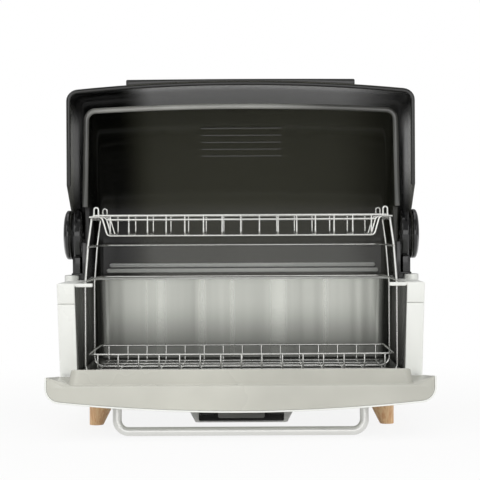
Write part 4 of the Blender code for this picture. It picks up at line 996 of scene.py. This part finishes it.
class DRYER_OT_hinges(bpy.types.Operator):
    """Make the two hinge brackets and the glossy caps on the lid's hubs"""

    bl_idname = "dryer.hinges"
    bl_label = "Hinges"

    def execute(self, context):
        hinge, body = context.scene.dryer_hinge, context.scene.dryer_body
        radius, edge, groove = hinge.radius, hinge.edge, hinge.groove
        # Shares of the cap's depth, and of the hinge's radius
        dome_depth, recess_start, recess_end, leg_top, heel_top = 0.62, 0.55, 0.58, 0.62, 0.3
        bore, cap_steps = 0.006, 12
        # The cap's face as shares of its radius, and where its two ring grooves and its sunken middle lie
        face = np.array([(0.56, 0), (0.545, 1), (0.52, 1), (0.505, 0), (0.26, 0), (0.24, 1), (0, 1)])
        start, end = hinge.disc_x, hinge.disc_x + hinge.disc_width
        front, back = hub_y - hinge.leg_length / 2, hub_y + hinge.leg_length / 2
        for side, sign in (("left", -1), ("right", 1)):
            cap_in, cap_out = sorted(abs(corner.x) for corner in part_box(f"{side}_hub_cap"))
            width = cap_out - cap_in - hinge.draw_in
            dome = (radius * hinge.dome_share, width * dome_depth)
            profile = np.concatenate((
                [(0, 0)],
                arc((radius - edge / 2, edge / 2), (edge / 2, edge / 2), -90, 0),
                arc((radius - dome[0], width - dome[1]), dome, 0, 90, cap_steps),
                face * (radius, -groove) + (0, width),
            ))
            profile[:, 1] = sign * (cap_in + profile[:, 1])
            cap = moved(turned(profile), sideways_order, hub_place)
            piece(f"{side}_cap_shell", [cap], "lid", "black_plastic", replaces=[f"{side}_hub_cap"])

            ring = np.concatenate((
                [(bore, start), (radius * recess_start, start), (radius * recess_end, start + groove)],
                arc((radius - edge, start + edge), (edge, edge), -90, 0),
                arc((radius - edge, end - edge), (edge, edge), 0, 90),
                [(bore, end)],
            ))
            ring[:, 1] *= sign
            disc = moved(turned(ring), sideways_order, hub_place)
            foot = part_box(f"{side}_hinge_bracket")[0].z
            leg = brick(sorted((sign * hinge.leg_in, sign * hinge.leg_out)), (front, back),
                        (foot, hub_z - radius * leg_top), edge / 2)
            pad = brick(sorted((sign * hinge.leg_in, sign * (hinge.leg_out + edge / 2))),
                        (front - edge / 2, back + edge / 2), (foot, foot + edge), edge / 3)
            heel = brick(sorted((sign * hinge.heel_in, sign * hinge.heel_out)), (front, hub_y - edge * 2),
                         (body.rim_z + 2 * gap, hub_z - radius * heel_top), edge / 3)
            piece(f"{side}_bracket_shell", [disc, leg, pad, heel], "housing", "black_plastic",
                  replaces=[f"{side}_hinge_bracket"])
        return {"FINISHED"}


def opened(parts):
    """Parts drawn with the lid closed, measured from the hinge axis, turned back by a right angle."""
    return [(np.column_stack((verts[:, 0], hub_y + verts[:, 2], hub_z - verts[:, 1])), faces)
            for verts, faces in parts]


class DRYER_OT_lid(bpy.types.Operator):
    """Make the lifting lid: roof, cheeks, the band round its opening and the finger grip"""

    bl_idname = "dryer.lid"
    bl_label = "Lid"

    def execute(self, context):
        lid, hinge = context.scene.dryer_lid, context.scene.dryer_hinge
        half, rim_z = lid.width / 2, -lid.rim_drop
        rise_steps, hub_steps, grip_points = 5, 24, 33
        proud, band_edges, grip_edges = 0.0004, (0.0024, 0.001), (0.0018, 0.0018)
        dome = arc((0, lid.curve_z), (lid.front, lid.height - lid.curve_z), 180, 90, dome_steps)
        rise = np.linspace(rim_z, lid.curve_z, rise_steps + 1)[:-1]
        straight = np.column_stack((np.full(rise_steps, -lid.front), rise))
        profile = np.concatenate((straight, dome, [(lid.tail, lid.height)]))
        skin = hood_skin(profile, half, lid.edge, lid.bow, lid.front)
        hub = arc((0, 0), (hinge.radius, hinge.radius), 50, -180, hub_steps)
        lower = np.concatenate((hub, [(-lid.cheek, rim_z)]))

        def cheek_edge(sign):
            """A cheek's lower edge: round the hub and along to the rim, set back by the bow."""
            return bowed(np.column_stack((np.full(len(lower), sign * half), lower)), half, lid.bow, lid.front)

        piece("lid_skin", opened(hood(skin, cheek_edge)), "lid", "smoked_plastic", replaces=["lid_shell"],
              thickness=lid.skin, out=(0, 1, 1))

        ends = np.array([(-half, -lid.cheek, 0), (half, -lid.cheek, 0)])
        ends = bowed(ends, half, lid.bow, lid.front)[:, :2]
        line = np.concatenate((ends[:1], skin[0, :, :2], ends[1:]))
        side = normals(line)
        band = walled(line + side * proud, line - side * lid.band, rim_z - gap, rim_z + lid.band_depth,
                      band_edges)
        piece("lid_band", opened([band]), "lid", "smoked_band")

        x = np.linspace(-lid.grip_width / 2, lid.grip_width / 2, grip_points)
        set_back = (x / half) ** 2
        outer = np.column_stack((x, lid.grip_bow * set_back - lid.front - lid.grip_reach))
        inner = np.column_stack((x, lid.bow * set_back - lid.front + 2 * proud))
        grip = walled(outer, inner, rim_z, rim_z + lid.grip_height, grip_edges)
        piece("lid_grip_bar", opened([grip]), "lid", "smoked_band", ["lid_grip"])
        return {"FINISHED"}


def arched(points, cover):
    """Raise points by the arch's rise, less the arch times the square of their share of the half width, all
    in proportion to their height over the hinge axis."""
    points = points.copy()
    share = np.clip(points[..., 2] / cover.height, 0, None)
    points[..., 2] += share * (cover.arch_rise - cover.arch * (points[..., 0] / (cover.width / 2)) ** 2)
    return points


class DRYER_OT_cover(bpy.types.Operator):
    """Make the fixed rear cover with its steam slots, its grey front band and the two light bars inside"""

    bl_idname = "dryer.cover"
    bl_label = "Rear cover"

    def execute(self, context):
        cover, body = context.scene.dryer_cover, context.scene.dryer_body
        half, height, edge = cover.width / 2, cover.height, cover.edge
        bead_edges, leg_edges, slot_edge = (0.0034, 0.0005), (0.0012, 0.0005), 0.0002
        bar_corner, bar_edge = 0.003, 0.0022
        slot_count, drop_steps, corner_steps, roof_steps = 5, 4, 10, 24
        foot = body.rim_z + gap - hub_z
        curve = arc((0, -cover.curve_drop), (cover.reach, height + cover.curve_drop), 90, 0, dome_steps)
        down = np.linspace(-cover.curve_drop, foot, drop_steps + 1)[1:]
        profile = np.concatenate((curve, np.column_stack((np.full(drop_steps, cover.reach), down))))
        skin = arched(hood_skin(profile, half, edge), cover)
        parts = hood(skin, lambda sign: [(sign * half, 0, foot)])
        made = piece("cover_skin", all_moved(parts, shift=hub_place), "housing", "smoked_cover",
                     ["rear_cover"], thickness=body.skin, out=(0, 1, 1))
        slots = []
        for i in range(slot_count):
            top = cover.slot_top - hub_z - i * cover.slot_pitch
            outline = rounded(cover.slot_width / 2, top - cover.slot_height, top, cover.slot_height / 2)
            slots.append(slab(outline, cover.reach / 4, 1.1 * cover.reach, slot_edge))
        cut(made, all_moved(slots, upright_order, hub_place))

        across = np.linspace(half - edge, edge - half, roof_steps + 1)[1:-1]
        line = np.concatenate((
            [(half, foot), (half, cover.band_foot)],
            arc((half - edge, height - edge), (edge, edge), 0, 90, corner_steps),
            np.column_stack((across, np.full(len(across), height))),
            arc((edge - half, height - edge), (edge, edge), 90, 180, corner_steps),
            [(-half, cover.band_foot), (-half, foot)],
        ))
        line = arched(np.column_stack((line[:, 0], np.zeros(len(line)), line[:, 1])), cover)[:, ::2]
        inner = line - normals(line) * cover.band
        leaning = line[1:-1].copy()
        lean = cover.band_lean * np.clip(1 - leaning[:, 1] / height, 0, 1)
        leaning[:, 0] += np.sign(leaning[:, 0]) * lean
        bead = walled(leaning, leaning - normals(leaning) * cover.band, -gap - cover.band_depth, -gap,
                      bead_edges)
        piece("cover_band", all_moved([bead], upright_order, hub_place), "housing", "cover_bead",
              ["cover_trim"])
        legs = [walled(line[ends], inner[ends], -gap - cover.band_depth / 2, -gap, leg_edges)
                for ends in (slice(0, 2), slice(-2, None))]
        piece("cover_band_legs", all_moved(legs, upright_order, hub_place), "housing", "smoked_cover")

        low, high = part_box("rear_sill")
        bars = []
        for row in (0, 1):
            foot = cover.sill_z - row * cover.sill_pitch
            bar_half = cover.sill_width / 2 + row * cover.sill_step
            outline = rounded(bar_half, foot, foot + cover.sill_height, bar_corner)
            bars.append(slab(outline, low.y, high.y, bar_edge))
        piece("sill_bar", all_moved(bars, upright_order), "housing", "light_grey", replaces=["rear_sill"])
        return {"FINISHED"}


def door_line(door, inset=0.0, columns=20):
    """The door's section as an open line of (x, z): down the left side, round a quarter circle, along a
    parabola with the bow's depth, and back up. The inset draws it in by a skin."""
    half, radius = door.width / 2 - inset, door.corner - inset
    centre_x, foot = door.width / 2 - door.corner, door.rim - door.side
    phi = math.degrees(math.atan(2 * door.bow / centre_x))
    left = arc((-centre_x, foot), (radius, radius), 180, 270 - phi)
    right = (left * (-1, 1))[::-1]
    reach, low = -left[-1, 0], left[-1, 1]
    x = np.linspace(-reach, reach, columns + 1)[1:-1]
    bow = np.column_stack((x, low - door.bow * (1 - (x / reach) ** 2)))
    return np.concatenate(([(-half, door.rim)], left, bow, right, [(half, door.rim)]))


def on_door(door, parts):
    """Parts drawn on the flat door, widened towards the free edge by the flare and turned by the droop."""
    placed = []
    for verts, faces in parts:
        verts = verts.copy()
        share = (door.end - verts[:, 1]) / (door.reach + door.end)
        verts[:, 0] *= 1 + door.flare / (door.width / 2) * share
        placed.append(moved((verts, faces), about_x=-door.droop, centre=door_axis))
    return placed


class DRYER_OT_door(bpy.types.Operator):
    """Make the fold-down door: bowed shell, hinge beam, and the pressed panel inside"""

    bl_idname = "dryer.door"
    bl_label = "Door"

    def execute(self, context):
        door = context.scene.dryer_door
        skin, edge, half = door.skin, door.skin / 4, door.width / 2
        tray = walled(door_line(door), door_line(door, skin), -door.reach, door.end, (edge, edge))
        room = 0.001
        notch_in, notch_out = door.lug_x - room, door.lug_x + door.lug_width + room
        inside, back, front = half - skin / 2, door.end, door.end - door.beam
        corners = [
            (-inside, front), (inside, front), (inside, back), (notch_out, back), (notch_out, -door.notch),
            (notch_in, -door.notch), (notch_in, back), (-notch_in, back), (-notch_in, -door.notch),
            (-notch_out, -door.notch), (-notch_out, back), (-inside, back),
        ]
        beam = slab(bent(corners, edge / 2, 2, closed=True), -door.notch, door.rim, edge / 2)
        wall = door_line(door, skin / 2)
        wall[:, 1] = np.minimum(wall[:, 1], -door.notch)
        wall = slab(wall, door.end - skin, door.end - gap, edge / 2)
        parts = [moved(tray, upright_order), beam, moved(wall, upright_order)]
        piece("door_case", on_door(door, parts), "door", "white_plastic", replaces=["door_shell"])

        inset = skin + gap
        near, far = inset - door.reach, door.end - door.beam - gap
        border_half = half - inset - door.slope
        sunk_z, field_z = door.rim - door.drop, door.rim + door.rise
        rim_sink, least_corner, panel_bend, bend_steps, border_steps = 0.0005, 0.003, 0.0025, 4, 9
        line = bent(
            [(0, door.rim - rim_sink), (door.slope, sunk_z), (door.slope + door.field_edge, field_z),
             (door.slope + 3 * door.field_edge, field_z)], panel_bend, bend_steps,
        )
        rings = []
        for drawn_in, z in line:
            radius = least_corner + (door.field_corner - least_corner) * min(drawn_in / door.slope, 1)
            outline = rounded(half - inset - drawn_in, near + drawn_in, far - drawn_in, radius)
            reach = min(border_half, -outline[-1, 0])
            across = np.linspace(-reach, reach, border_steps)
            run = np.column_stack((across, np.full(border_steps, near + drawn_in)))
            outline = np.concatenate((outline, run))
            sunk = np.clip((half - inset - abs(outline[:, 0])) / door.slope, 0, 1) * door.drop
            at_front = np.sqrt(np.clip(1 - (outline[:, 1] - near) / door.slope, 0, 1))
            level = np.minimum(z, np.where(at_front > 0, door.rim - sunk * at_front, z))
            rings.append(ring_at(outline, np.where(drawn_in < door.slope, level, z)))
        piece("door_panel", on_door(door, bowl(rings)), "door", "door_grey", ["door_liner"],
              thickness=skin / 2, out=(0, 0, 1), even=False)
        end = np.concatenate((door_line(door, inset), [(border_half, sunk_z), (-border_half, sunk_z)]))
        end_sink, end_inset, overlap, end_edge = 0.0008, 0.0006, 0.0002, 0.0003
        end[:, 1] = np.minimum(end[:, 1], door.rim - end_sink)
        end = moved(slab(end, end_inset - door.reach, near + overlap, end_edge), upright_order)
        piece("door_near_end", on_door(door, [end]), "door", "door_grey")
        return {"FINISHED"}


class DRYER_OT_handle(bpy.types.Operator):
    """Make the bent aluminium handle under the door's face"""

    bl_idname = "dryer.handle"
    bl_label = "Handle"

    def execute(self, context):
        handle, door = context.scene.dryer_handle, context.scene.dryer_door
        radius, y = handle.radius, -handle.reach
        x, bar_z = handle.span / 2 - radius, door.rim - handle.drop
        line = door_line(door)
        line = line[np.argsort(line[:, 0])][2:-2]
        top = float(np.interp(x, line[:, 0], line[:, 1])) - gap
        corners = [(-x, y, top), (-x, y, bar_z), (x, y, bar_z), (x, y, top)]
        bead, bore, collar, bend_steps, sides = 0.0004, radius * 0.6, 0.0012, 12, 32
        parts = [tube(bent(corners, handle.bend, bend_steps), radius, (0, 1, 0), sides, cap_steps=0)]
        ring = np.concatenate((
            [(bore, top - collar)],
            arc((radius + bead, top - 2 * bead), (bead, bead), -90, 90, 3),
            [(bore, top)],
        ))
        parts += [moved(turned(ring, sides), shift=(side * x, y, 0)) for side in (-1, 1)]
        piece("handle_bar", on_door(door, parts), "door", "satin_aluminium", replaces=["door_handle"])
        return {"FINISHED"}


def mirrored(right):
    """A path from left to right: the mirror image of its right half, backwards, and then that half."""
    return [*[(-x, y, z) for x, y, z in reversed(right)], *right]


def wires_along(places, front_of, back, top_z, bottom_z, rack):
    """Wires down in front, back along the bottom and up behind, one at each x."""
    made = []
    for x in places:
        near = front_of(x)
        corners = [(x, near, top_z), (x, near, bottom_z), (x, back, bottom_z), (x, back, top_z)]
        made.append(tube(bent(corners, rack.basket_bend), rack.basket_wire, (1, 0, 0)))
    return made


def wire_across(half, y, z, radius, sides=10):
    """A straight wire from side to side."""
    return tube([(x, y, z) for x in np.linspace(-half, half, 4)], radius, (0, 0, 1), sides)


def spaced(half, pitch):
    """Places from -half to half with about this pitch."""
    return np.linspace(-half, half, round(2 * half / pitch) + 1)


class DRYER_OT_racks(bpy.types.Operator):
    """Make the wire racks: the frame, the low plate basket and the upper basket"""

    bl_idname = "dryer.racks"
    bl_label = "Wire racks"

    def execute(self, context):
        rack = context.scene.dryer_rack
        sink, wire, rim_wire = rack.weld, rack.basket_wire, rack.rim_wire
        along_y, along_z, thick_sides, guard_steps = (0, 1, 0), (0, 0, 1), 12, 10

        def rack_piece(name, parts, body, node):
            """Make a piece of wires, drawn from the front plane back, that stands for a node."""
            piece(name, all_moved(parts, shift=to_front), body, "polished_wire", replaces=[node])

        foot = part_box("rack_frame")[0].z + rack.frame_wire
        levels = (foot, rack.bend_z, rack.waist_z, rack.top_z)
        across = (rack.foot_x, rack.foot_x, rack.waist_x, rack.top_x)
        tip = rack.near - rack.tip
        parts = []
        for y in (rack.near, rack.far):
            hoop = mirrored([(x, y, z) for x, z in zip(across, levels)])
            parts.append(tube(bent(hoop, rack.frame_bend), rack.frame_wire, along_y, thick_sides))
        for sign in (-1, 1):
            rail = [(sign * rack.top_x, y, rack.top_z) for y in np.linspace(tip, rack.far + rack.tip, 4)]
            parts.append(tube(rail, rack.frame_wire, along_z, thick_sides))
        for z in (rack.guard_low, rack.guard_high):
            x = float(np.interp(z, levels, across))
            guard = mirrored([(x, rack.guard_back, z), (x, tip, z)])
            guard = bent(guard, rack.guard_bend, guard_steps)
            parts.append(tube(guard, rack.frame_wire, along_z, thick_sides))
        rack_piece("rack_hoops", parts, "lower_rack", "rack_frame")

        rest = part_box("lower_basket")[0].z + wire
        half, back, rim_z = rack.low_half, rack.low_back, rack.low_rim_z

        def front_of(x):
            """The front, less the bow times one minus the square of x's share of the half width."""
            return rack.low_front - rack.low_bow * (1 - (x / rack.low_half) ** 2)

        places = spaced(half - rack.low_margin, rack.low_pitch)
        parts = wires_along(places, front_of, back, rim_z, rest, rack)
        bow = [(x, front_of(x), rim_z) for x in np.linspace(-half, half, 25)]
        loop = bent([*bow, (half, back, rim_z), (-half, back, rim_z)], rack.rim_bend, closed=True)
        parts.append(tube(loop, rim_wire, along_z, thick_sides, closed=True))
        half -= rack.low_margin - rack.tip
        inset = 2 * rack.basket_bend
        for y in np.linspace(rack.low_front + inset, back - inset, 4):
            parts.append(wire_across(half, y, rest + 2 * wire - sink, wire))
        rack_piece("low_basket_wires", parts, "lower_rack", "lower_basket")

        rest = rack.top_z + rack.frame_wire + gap + wire
        parts = []
        for y in np.linspace(rack.near + rack.up_margin, rack.far - rack.up_margin, 3):
            cross = mirrored([(rack.up_floor_half, y, rack.up_floor), (rack.up_top_half, y, rest),
                              (rack.top_x + rack.tip, y, rest)])
            parts.append(tube(bent(cross, rack.basket_bend), wire, along_y))
        rim_z = rest + wire + rim_wire - sink
        floor_z = rack.up_floor + 2 * wire - sink
        places = spaced(rack.up_floor_half - rack.up_margin, rack.up_pitch)
        parts += wires_along(places, lambda x: rack.near, rack.far, rim_z, floor_z, rack)
        half = rack.up_half
        corners = [(-half, rack.near), (half, rack.near), (half, rack.far), (-half, rack.far)]
        loop = bent([(x, y, rim_z) for x, y in corners], rack.basket_bend, closed=True)
        parts.append(tube(loop, rim_wire, along_z, thick_sides, closed=True))
        inner, outer = rack.hook_x, rack.hook_x + rack.hook_width
        hook = [(inner, rest), (inner, rack.hook_top), (outer, rack.hook_top), (outer, rest)]
        for y in (rack.near, rack.far):
            parts.append(wire_across(rack.up_floor_half, y, rim_z - rack.second_rim, rim_wire, thick_sides))
            for sign in (-1, 1):
                path = bent([(sign * x, y, z) for x, z in hook], rack.hook_width / 2)
                parts.append(tube(path, wire, along_y))
        rack_piece("up_basket_wires", parts, "upper_rack", "upper_basket")
        return {"FINISHED"}


class DRYER_OT_feet(bpy.types.Operator):
    """Make the four tapered oak feet"""

    bl_idname = "dryer.feet"
    bl_label = "Feet"

    def execute(self, context):
        foot, body = context.scene.dryer_foot, context.scene.dryer_body
        top, sides = body.foot_z - gap, 48
        drawn_in, rise = rounding(foot.edge)
        between = np.linspace(foot.edge, top - foot.edge, 8)[1:-1]
        levels = np.concatenate((rise, between, top - rise[::-1]))
        inset = np.concatenate((drawn_in, np.zeros(len(between)), drawn_in[::-1]))
        radius = foot.tip_radius + (foot.top_radius - foot.tip_radius) * (levels / top) - inset
        turn = around(sides)
        for name in ("front_left", "front_right", "back_left", "back_right"):
            low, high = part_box(f"{name}_foot")
            sign = -1 if name.endswith("left") else 1
            outer = max(abs(low.x), abs(high.x))
            centre_x = sign * (outer - radius - inset)
            rings = np.stack((
                centre_x[:, None] + radius[:, None] * np.cos(turn),
                (low.y + high.y) / 2 + radius[:, None] * np.sin(turn),
                np.broadcast_to(levels[:, None], (len(levels), sides)),
            ), -1)
            piece(f"{name}_foot_turned", [surface(rings, across=True, ends=True)], "housing", "oak",
                  replaces=[f"{name}_foot"])
        return {"FINISHED"}


class DRYER_OT_pod(bpy.types.Operator):
    """Make the control pod under the front, with its panel, display window and two buttons"""

    bl_idname = "dryer.pod"
    bl_label = "Control pod"

    def execute(self, context):
        pod, body = context.scene.dryer_pod, context.scene.dryer_body
        skin, top = body.skin, body.foot_z - gap
        key_corner, key_edge, panel_edge, glass_edge = 0.0022, 0.0008, 0.0004, 0.0003
        hole_front, hole_back, hole_edge = -0.01, 0.005, 0.0001
        vents, vent_half, vent_half_length, vent_reach, vent_edge = 8, 0.0015, 0.015, 0.01, 0.0005
        lean = math.atan2(pod.front_high - pod.front_low, top - pod.bottom_z)
        middle = (front_y + (pod.front_low + pod.front_high) / 2, (pod.bottom_z + top) / 2)
        drawn, rise = rounding(pod.edge)
        inset = np.concatenate((drawn, np.zeros(3)))
        levels = np.concatenate((pod.bottom_z + rise, np.linspace(pod.bottom_z + pod.edge, top, 4)[1:]))
        rings = []
        for drawn_in, z in zip(inset, levels):
            half = pod.bottom_width / 2 + pod.side_slope * (z - pod.bottom_z) - drawn_in
            front = pod.front_low + math.tan(lean) * (z - pod.bottom_z) + drawn_in
            outline = rounded(half, front_y + front, front_y + pod.back - drawn_in, pod.corner, 4)
            rings.append(ring_at(outline, z))
        case = piece("pod_case", bowl(rings, floor=0), "housing", "pod_grey", ["control_pod"],
                     thickness=skin, out=(0, -1, -1))

        def on_face(parts):
            """Parts drawn round nought, stood up, leaned back and moved to the middle of the pod's face."""
            return all_moved(parts, upright_order, about_x=-lean, centre=middle)

        def plate(width, height, radius, front, back, edge, x=0):
            """A plate with round corners, from its front to its back."""
            outline = rounded(width / 2, -height / 2, height / 2, radius) + (x, 0)
            return slab(outline, front, back, edge)

        def button_blocks(grown, front, back, edge):
            """A block for each button, grown on all four sides."""
            width, height = pod.button_width + 2 * grown, pod.button_height + 2 * grown
            return [plate(width, height, key_corner, front, back, edge, sign * pod.button_x)
                    for sign in (-1, 1)]

        def button_holes(room):
            """Blocks that cut the buttons' openings, with room round each button."""
            return on_face(button_blocks(room, hole_front, hole_back, hole_edge))

        low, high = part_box("fan_motor")
        fan_y = (low.y + high.y) / 2
        slots = [
            brick((x - vent_half, x + vent_half), (fan_y - vent_half_length, fan_y + vent_half_length),
                  (0, pod.bottom_z + vent_reach), vent_edge)
            for x in pod.vent_pitch * (np.arange(vents) - (vents - 1) / 2) if abs(x) > (high.x - low.x) / 2
        ]
        cut(case, button_holes(2 * gap) + slots)

        front = -gap - pod.panel_thickness
        panel = plate(pod.panel_width, pod.panel_height, skin, front, -gap, panel_edge)
        made = piece("panel_plate", on_face([panel]), "housing", "black_plastic", replaces=["control_panel"])
        cut(made, button_holes(gap))
        glass = plate(pod.window_width, pod.window_height, skin,
                      front - gap - pod.window_thickness, front - gap, glass_edge)
        piece("window_glass", on_face([glass]), "housing", "display_glass",
              ["display_window"])
        keys = on_face(button_blocks(0, front - pod.button_proud, pod.button_back, key_edge))
        for side, key in zip(("left", "right"), keys):
            piece(f"{side}_button_key", [key], f"{side}_push_button", "black_plastic",
                  replaces=[f"{side}_button"])
        return {"FINISHED"}


class DRYER_OT_fittings(bpy.types.Operator):
    """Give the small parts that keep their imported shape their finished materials"""

    bl_idname = "dryer.fittings"
    bl_label = "Small parts"

    def execute(self, context):
        dark = ("air_grille", "left_door_lug", "right_door_lug", "fan_shroud", "ptc_heater", "power_inlet",
                "left_hinge_washer", "right_hinge_washer", "left_lid_pin", "right_lid_pin")
        slot_finishes = {"liner_grey": "door_grey"}
        for name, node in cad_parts.items():
            slot = node.material_slots[0].material.name.split(".")[0]
            made = material("dark_plastic" if name in dark else slot_finishes.get(slot, slot))
            for entry in node.material_slots:
                entry.material = made
            if name == "air_grille":
                edges = node.modifiers.new("Edges", "BEVEL")
                edges.width = 0.0004
                edges.segments = 2
        return {"FINISHED"}


def floor_material(tint):
    """A pale floor: a lit surface near the object that turns to plain white with distance."""
    made = bpy.data.materials.new("pale_floor")
    made.use_nodes = True
    tree = made.node_tree
    shader = tree.nodes["Principled BSDF"]
    shader.inputs["Base Color"].default_value = (*tint, 1)
    shader.inputs["Roughness"].default_value = 0.6
    place = output(tree, "TexCoord", which="Object")
    away = output(tree, "VectorMath", {0: place}, "Value", operation="LENGTH")
    lit_to, white_from, near_share = 0.25, 1.2, 0.87
    far = ramp(tree, away, lit_to, white_from, near_share, 1.0, interpolation_type="SMOOTHSTEP")
    white = output(tree, "Emission", {"Color": (1, 1, 1, 1), "Strength": 1.0})
    seen = seen_directly(tree, ("Is Camera Ray", "Is Glossy Ray", "Is Transmission Ray"))
    share = maths(tree, "MULTIPLY", far, seen)
    mix = output(tree, "MixShader", {0: share, 1: shader.outputs["BSDF"], 2: white})
    tree.links.new(mix, tree.nodes["Material Output"].inputs["Surface"])
    return made


def seen_directly(tree, rays):
    """One for a ray of any of these kinds, otherwise nought."""
    path = add_node(tree, "LightPath")
    seen = path.outputs[rays[0]]
    for ray in rays[1:]:
        seen = maths(tree, "MAXIMUM", seen, path.outputs[ray])
    return seen


class DRYER_OT_stage(bpy.types.Operator):
    """Make the pale floor, the soft lights, the surroundings and the camera"""

    bl_idname = "dryer.stage"
    bl_label = "Stage"

    def execute(self, context):
        scene = context.scene
        reach = 6
        verts, faces = surface(np.array([[(x, y, 0.0) for y in (-reach, reach)] for x in (-reach, reach)]))
        mesh = bpy.data.meshes.new("floor")
        mesh.from_pydata(verts.tolist(), [], faces)
        mesh.materials.append(floor_material(tuple(scene.dryer_colours.floor)))
        add_object("floor", mesh)

        world = bpy.data.worlds.new("surroundings")
        scene.world = world
        world.use_nodes = True
        tree = world.node_tree
        backdrop = tree.nodes["Background"]
        soft = ramp(tree, output(tree, "LightPath", which="Is Diffuse Ray"), low=0.30, high=0.69)
        seen = seen_directly(tree, ("Is Camera Ray", "Is Transmission Ray"))
        tree.links.new(maths(tree, "MAXIMUM", seen, soft), backdrop.inputs["Strength"])
        backdrop.inputs["Color"].default_value = (1, 1, 1, 1)

        for name, place, aim, width, height, power in (
            ("key", (-1.6, -2.0, 1.7), (0, 0, 0.25), 1.8, 1.6, 12.0),
            ("fill", (1.8, -2.0, 1.2), (0, 0, 0.25), 1.8, 1.6, 9.0),
            ("top", (0, 0.2, 2.3), (0, 0, 0.2), 2.4, 1.8, 12.0),
            ("front", (0, -3.0, 0.6), (0, 0, 0.22), 2.2, 1.0, 11.5),
        ):
            lamp = bpy.data.lights.new(name, "AREA")
            lamp.shape, lamp.size, lamp.size_y, lamp.energy = "RECTANGLE", width, height, power
            light = add_object(name, lamp)
            light.location = place
            light.rotation_euler = (Vector(aim) - Vector(place)).to_track_quat("-Z", "Y").to_euler()

        lens = bpy.data.cameras.new("camera")
        lens.lens, lens.sensor_width = 138.75, 36.0
        lens.shift_x, lens.shift_y = -0.02883, -0.0235
        scene.camera = camera = add_object("camera", lens)
        camera.location = (0.018, -2.6198, 0.269)
        camera.rotation_euler = (math.radians(90), math.radians(0.28), 0)
        scene.view_settings.view_transform = "Standard"
        return {"FINISHED"}


operators = (
    DRYER_OT_body, DRYER_OT_tub, DRYER_OT_hinges, DRYER_OT_lid, DRYER_OT_cover, DRYER_OT_door,
    DRYER_OT_handle, DRYER_OT_racks, DRYER_OT_feet, DRYER_OT_pod, DRYER_OT_fittings, DRYER_OT_stage,
)

groups = {
    "body": BodySizes, "tub": TubSizes, "lid": LidSizes, "cover": CoverSizes, "hinge": HingeSizes,
    "door": DoorSizes, "handle": HandleSizes, "rack": RackSizes, "foot": FootSizes, "pod": PodSizes,
    "colours": Colours,
}


class DRYER_PT_panel(bpy.types.Panel):
    """The dryer's sizes, colours and operators"""

    bl_idname = "DRYER_PT_panel"
    bl_label = "Dish dryer"
    bl_space_type = "VIEW_3D"
    bl_region_type = "UI"
    bl_category = "Dish dryer"

    def draw(self, context):
        for name, group in groups.items():
            settings = getattr(context.scene, f"dryer_{name}")
            box = self.layout.box()
            box.label(text=name.capitalize())
            for field in group.__annotations__:
                box.prop(settings, field)
        for operator in operators:
            self.layout.operator(operator.bl_idname)


classes = (*groups.values(), *operators, DRYER_PT_panel)


def register():
    """Add the panel, the operators and the settings to Blender."""
    for kind in classes:
        bpy.utils.register_class(kind)
    for name, group in groups.items():
        setattr(bpy.types.Scene, f"dryer_{name}", bpy.props.PointerProperty(type=group))


def unregister():
    """Take the panel, the operators and the settings out again."""
    for name in groups:
        delattr(bpy.types.Scene, f"dryer_{name}")
    for kind in reversed(classes):
        bpy.utils.unregister_class(kind)


def main():
    """Register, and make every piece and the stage."""
    register()
    for operator in operators:
        name = operator.bl_idname.split(".")[1]
        getattr(bpy.ops.dryer, name)()


if __name__ == "__main__":
    main()
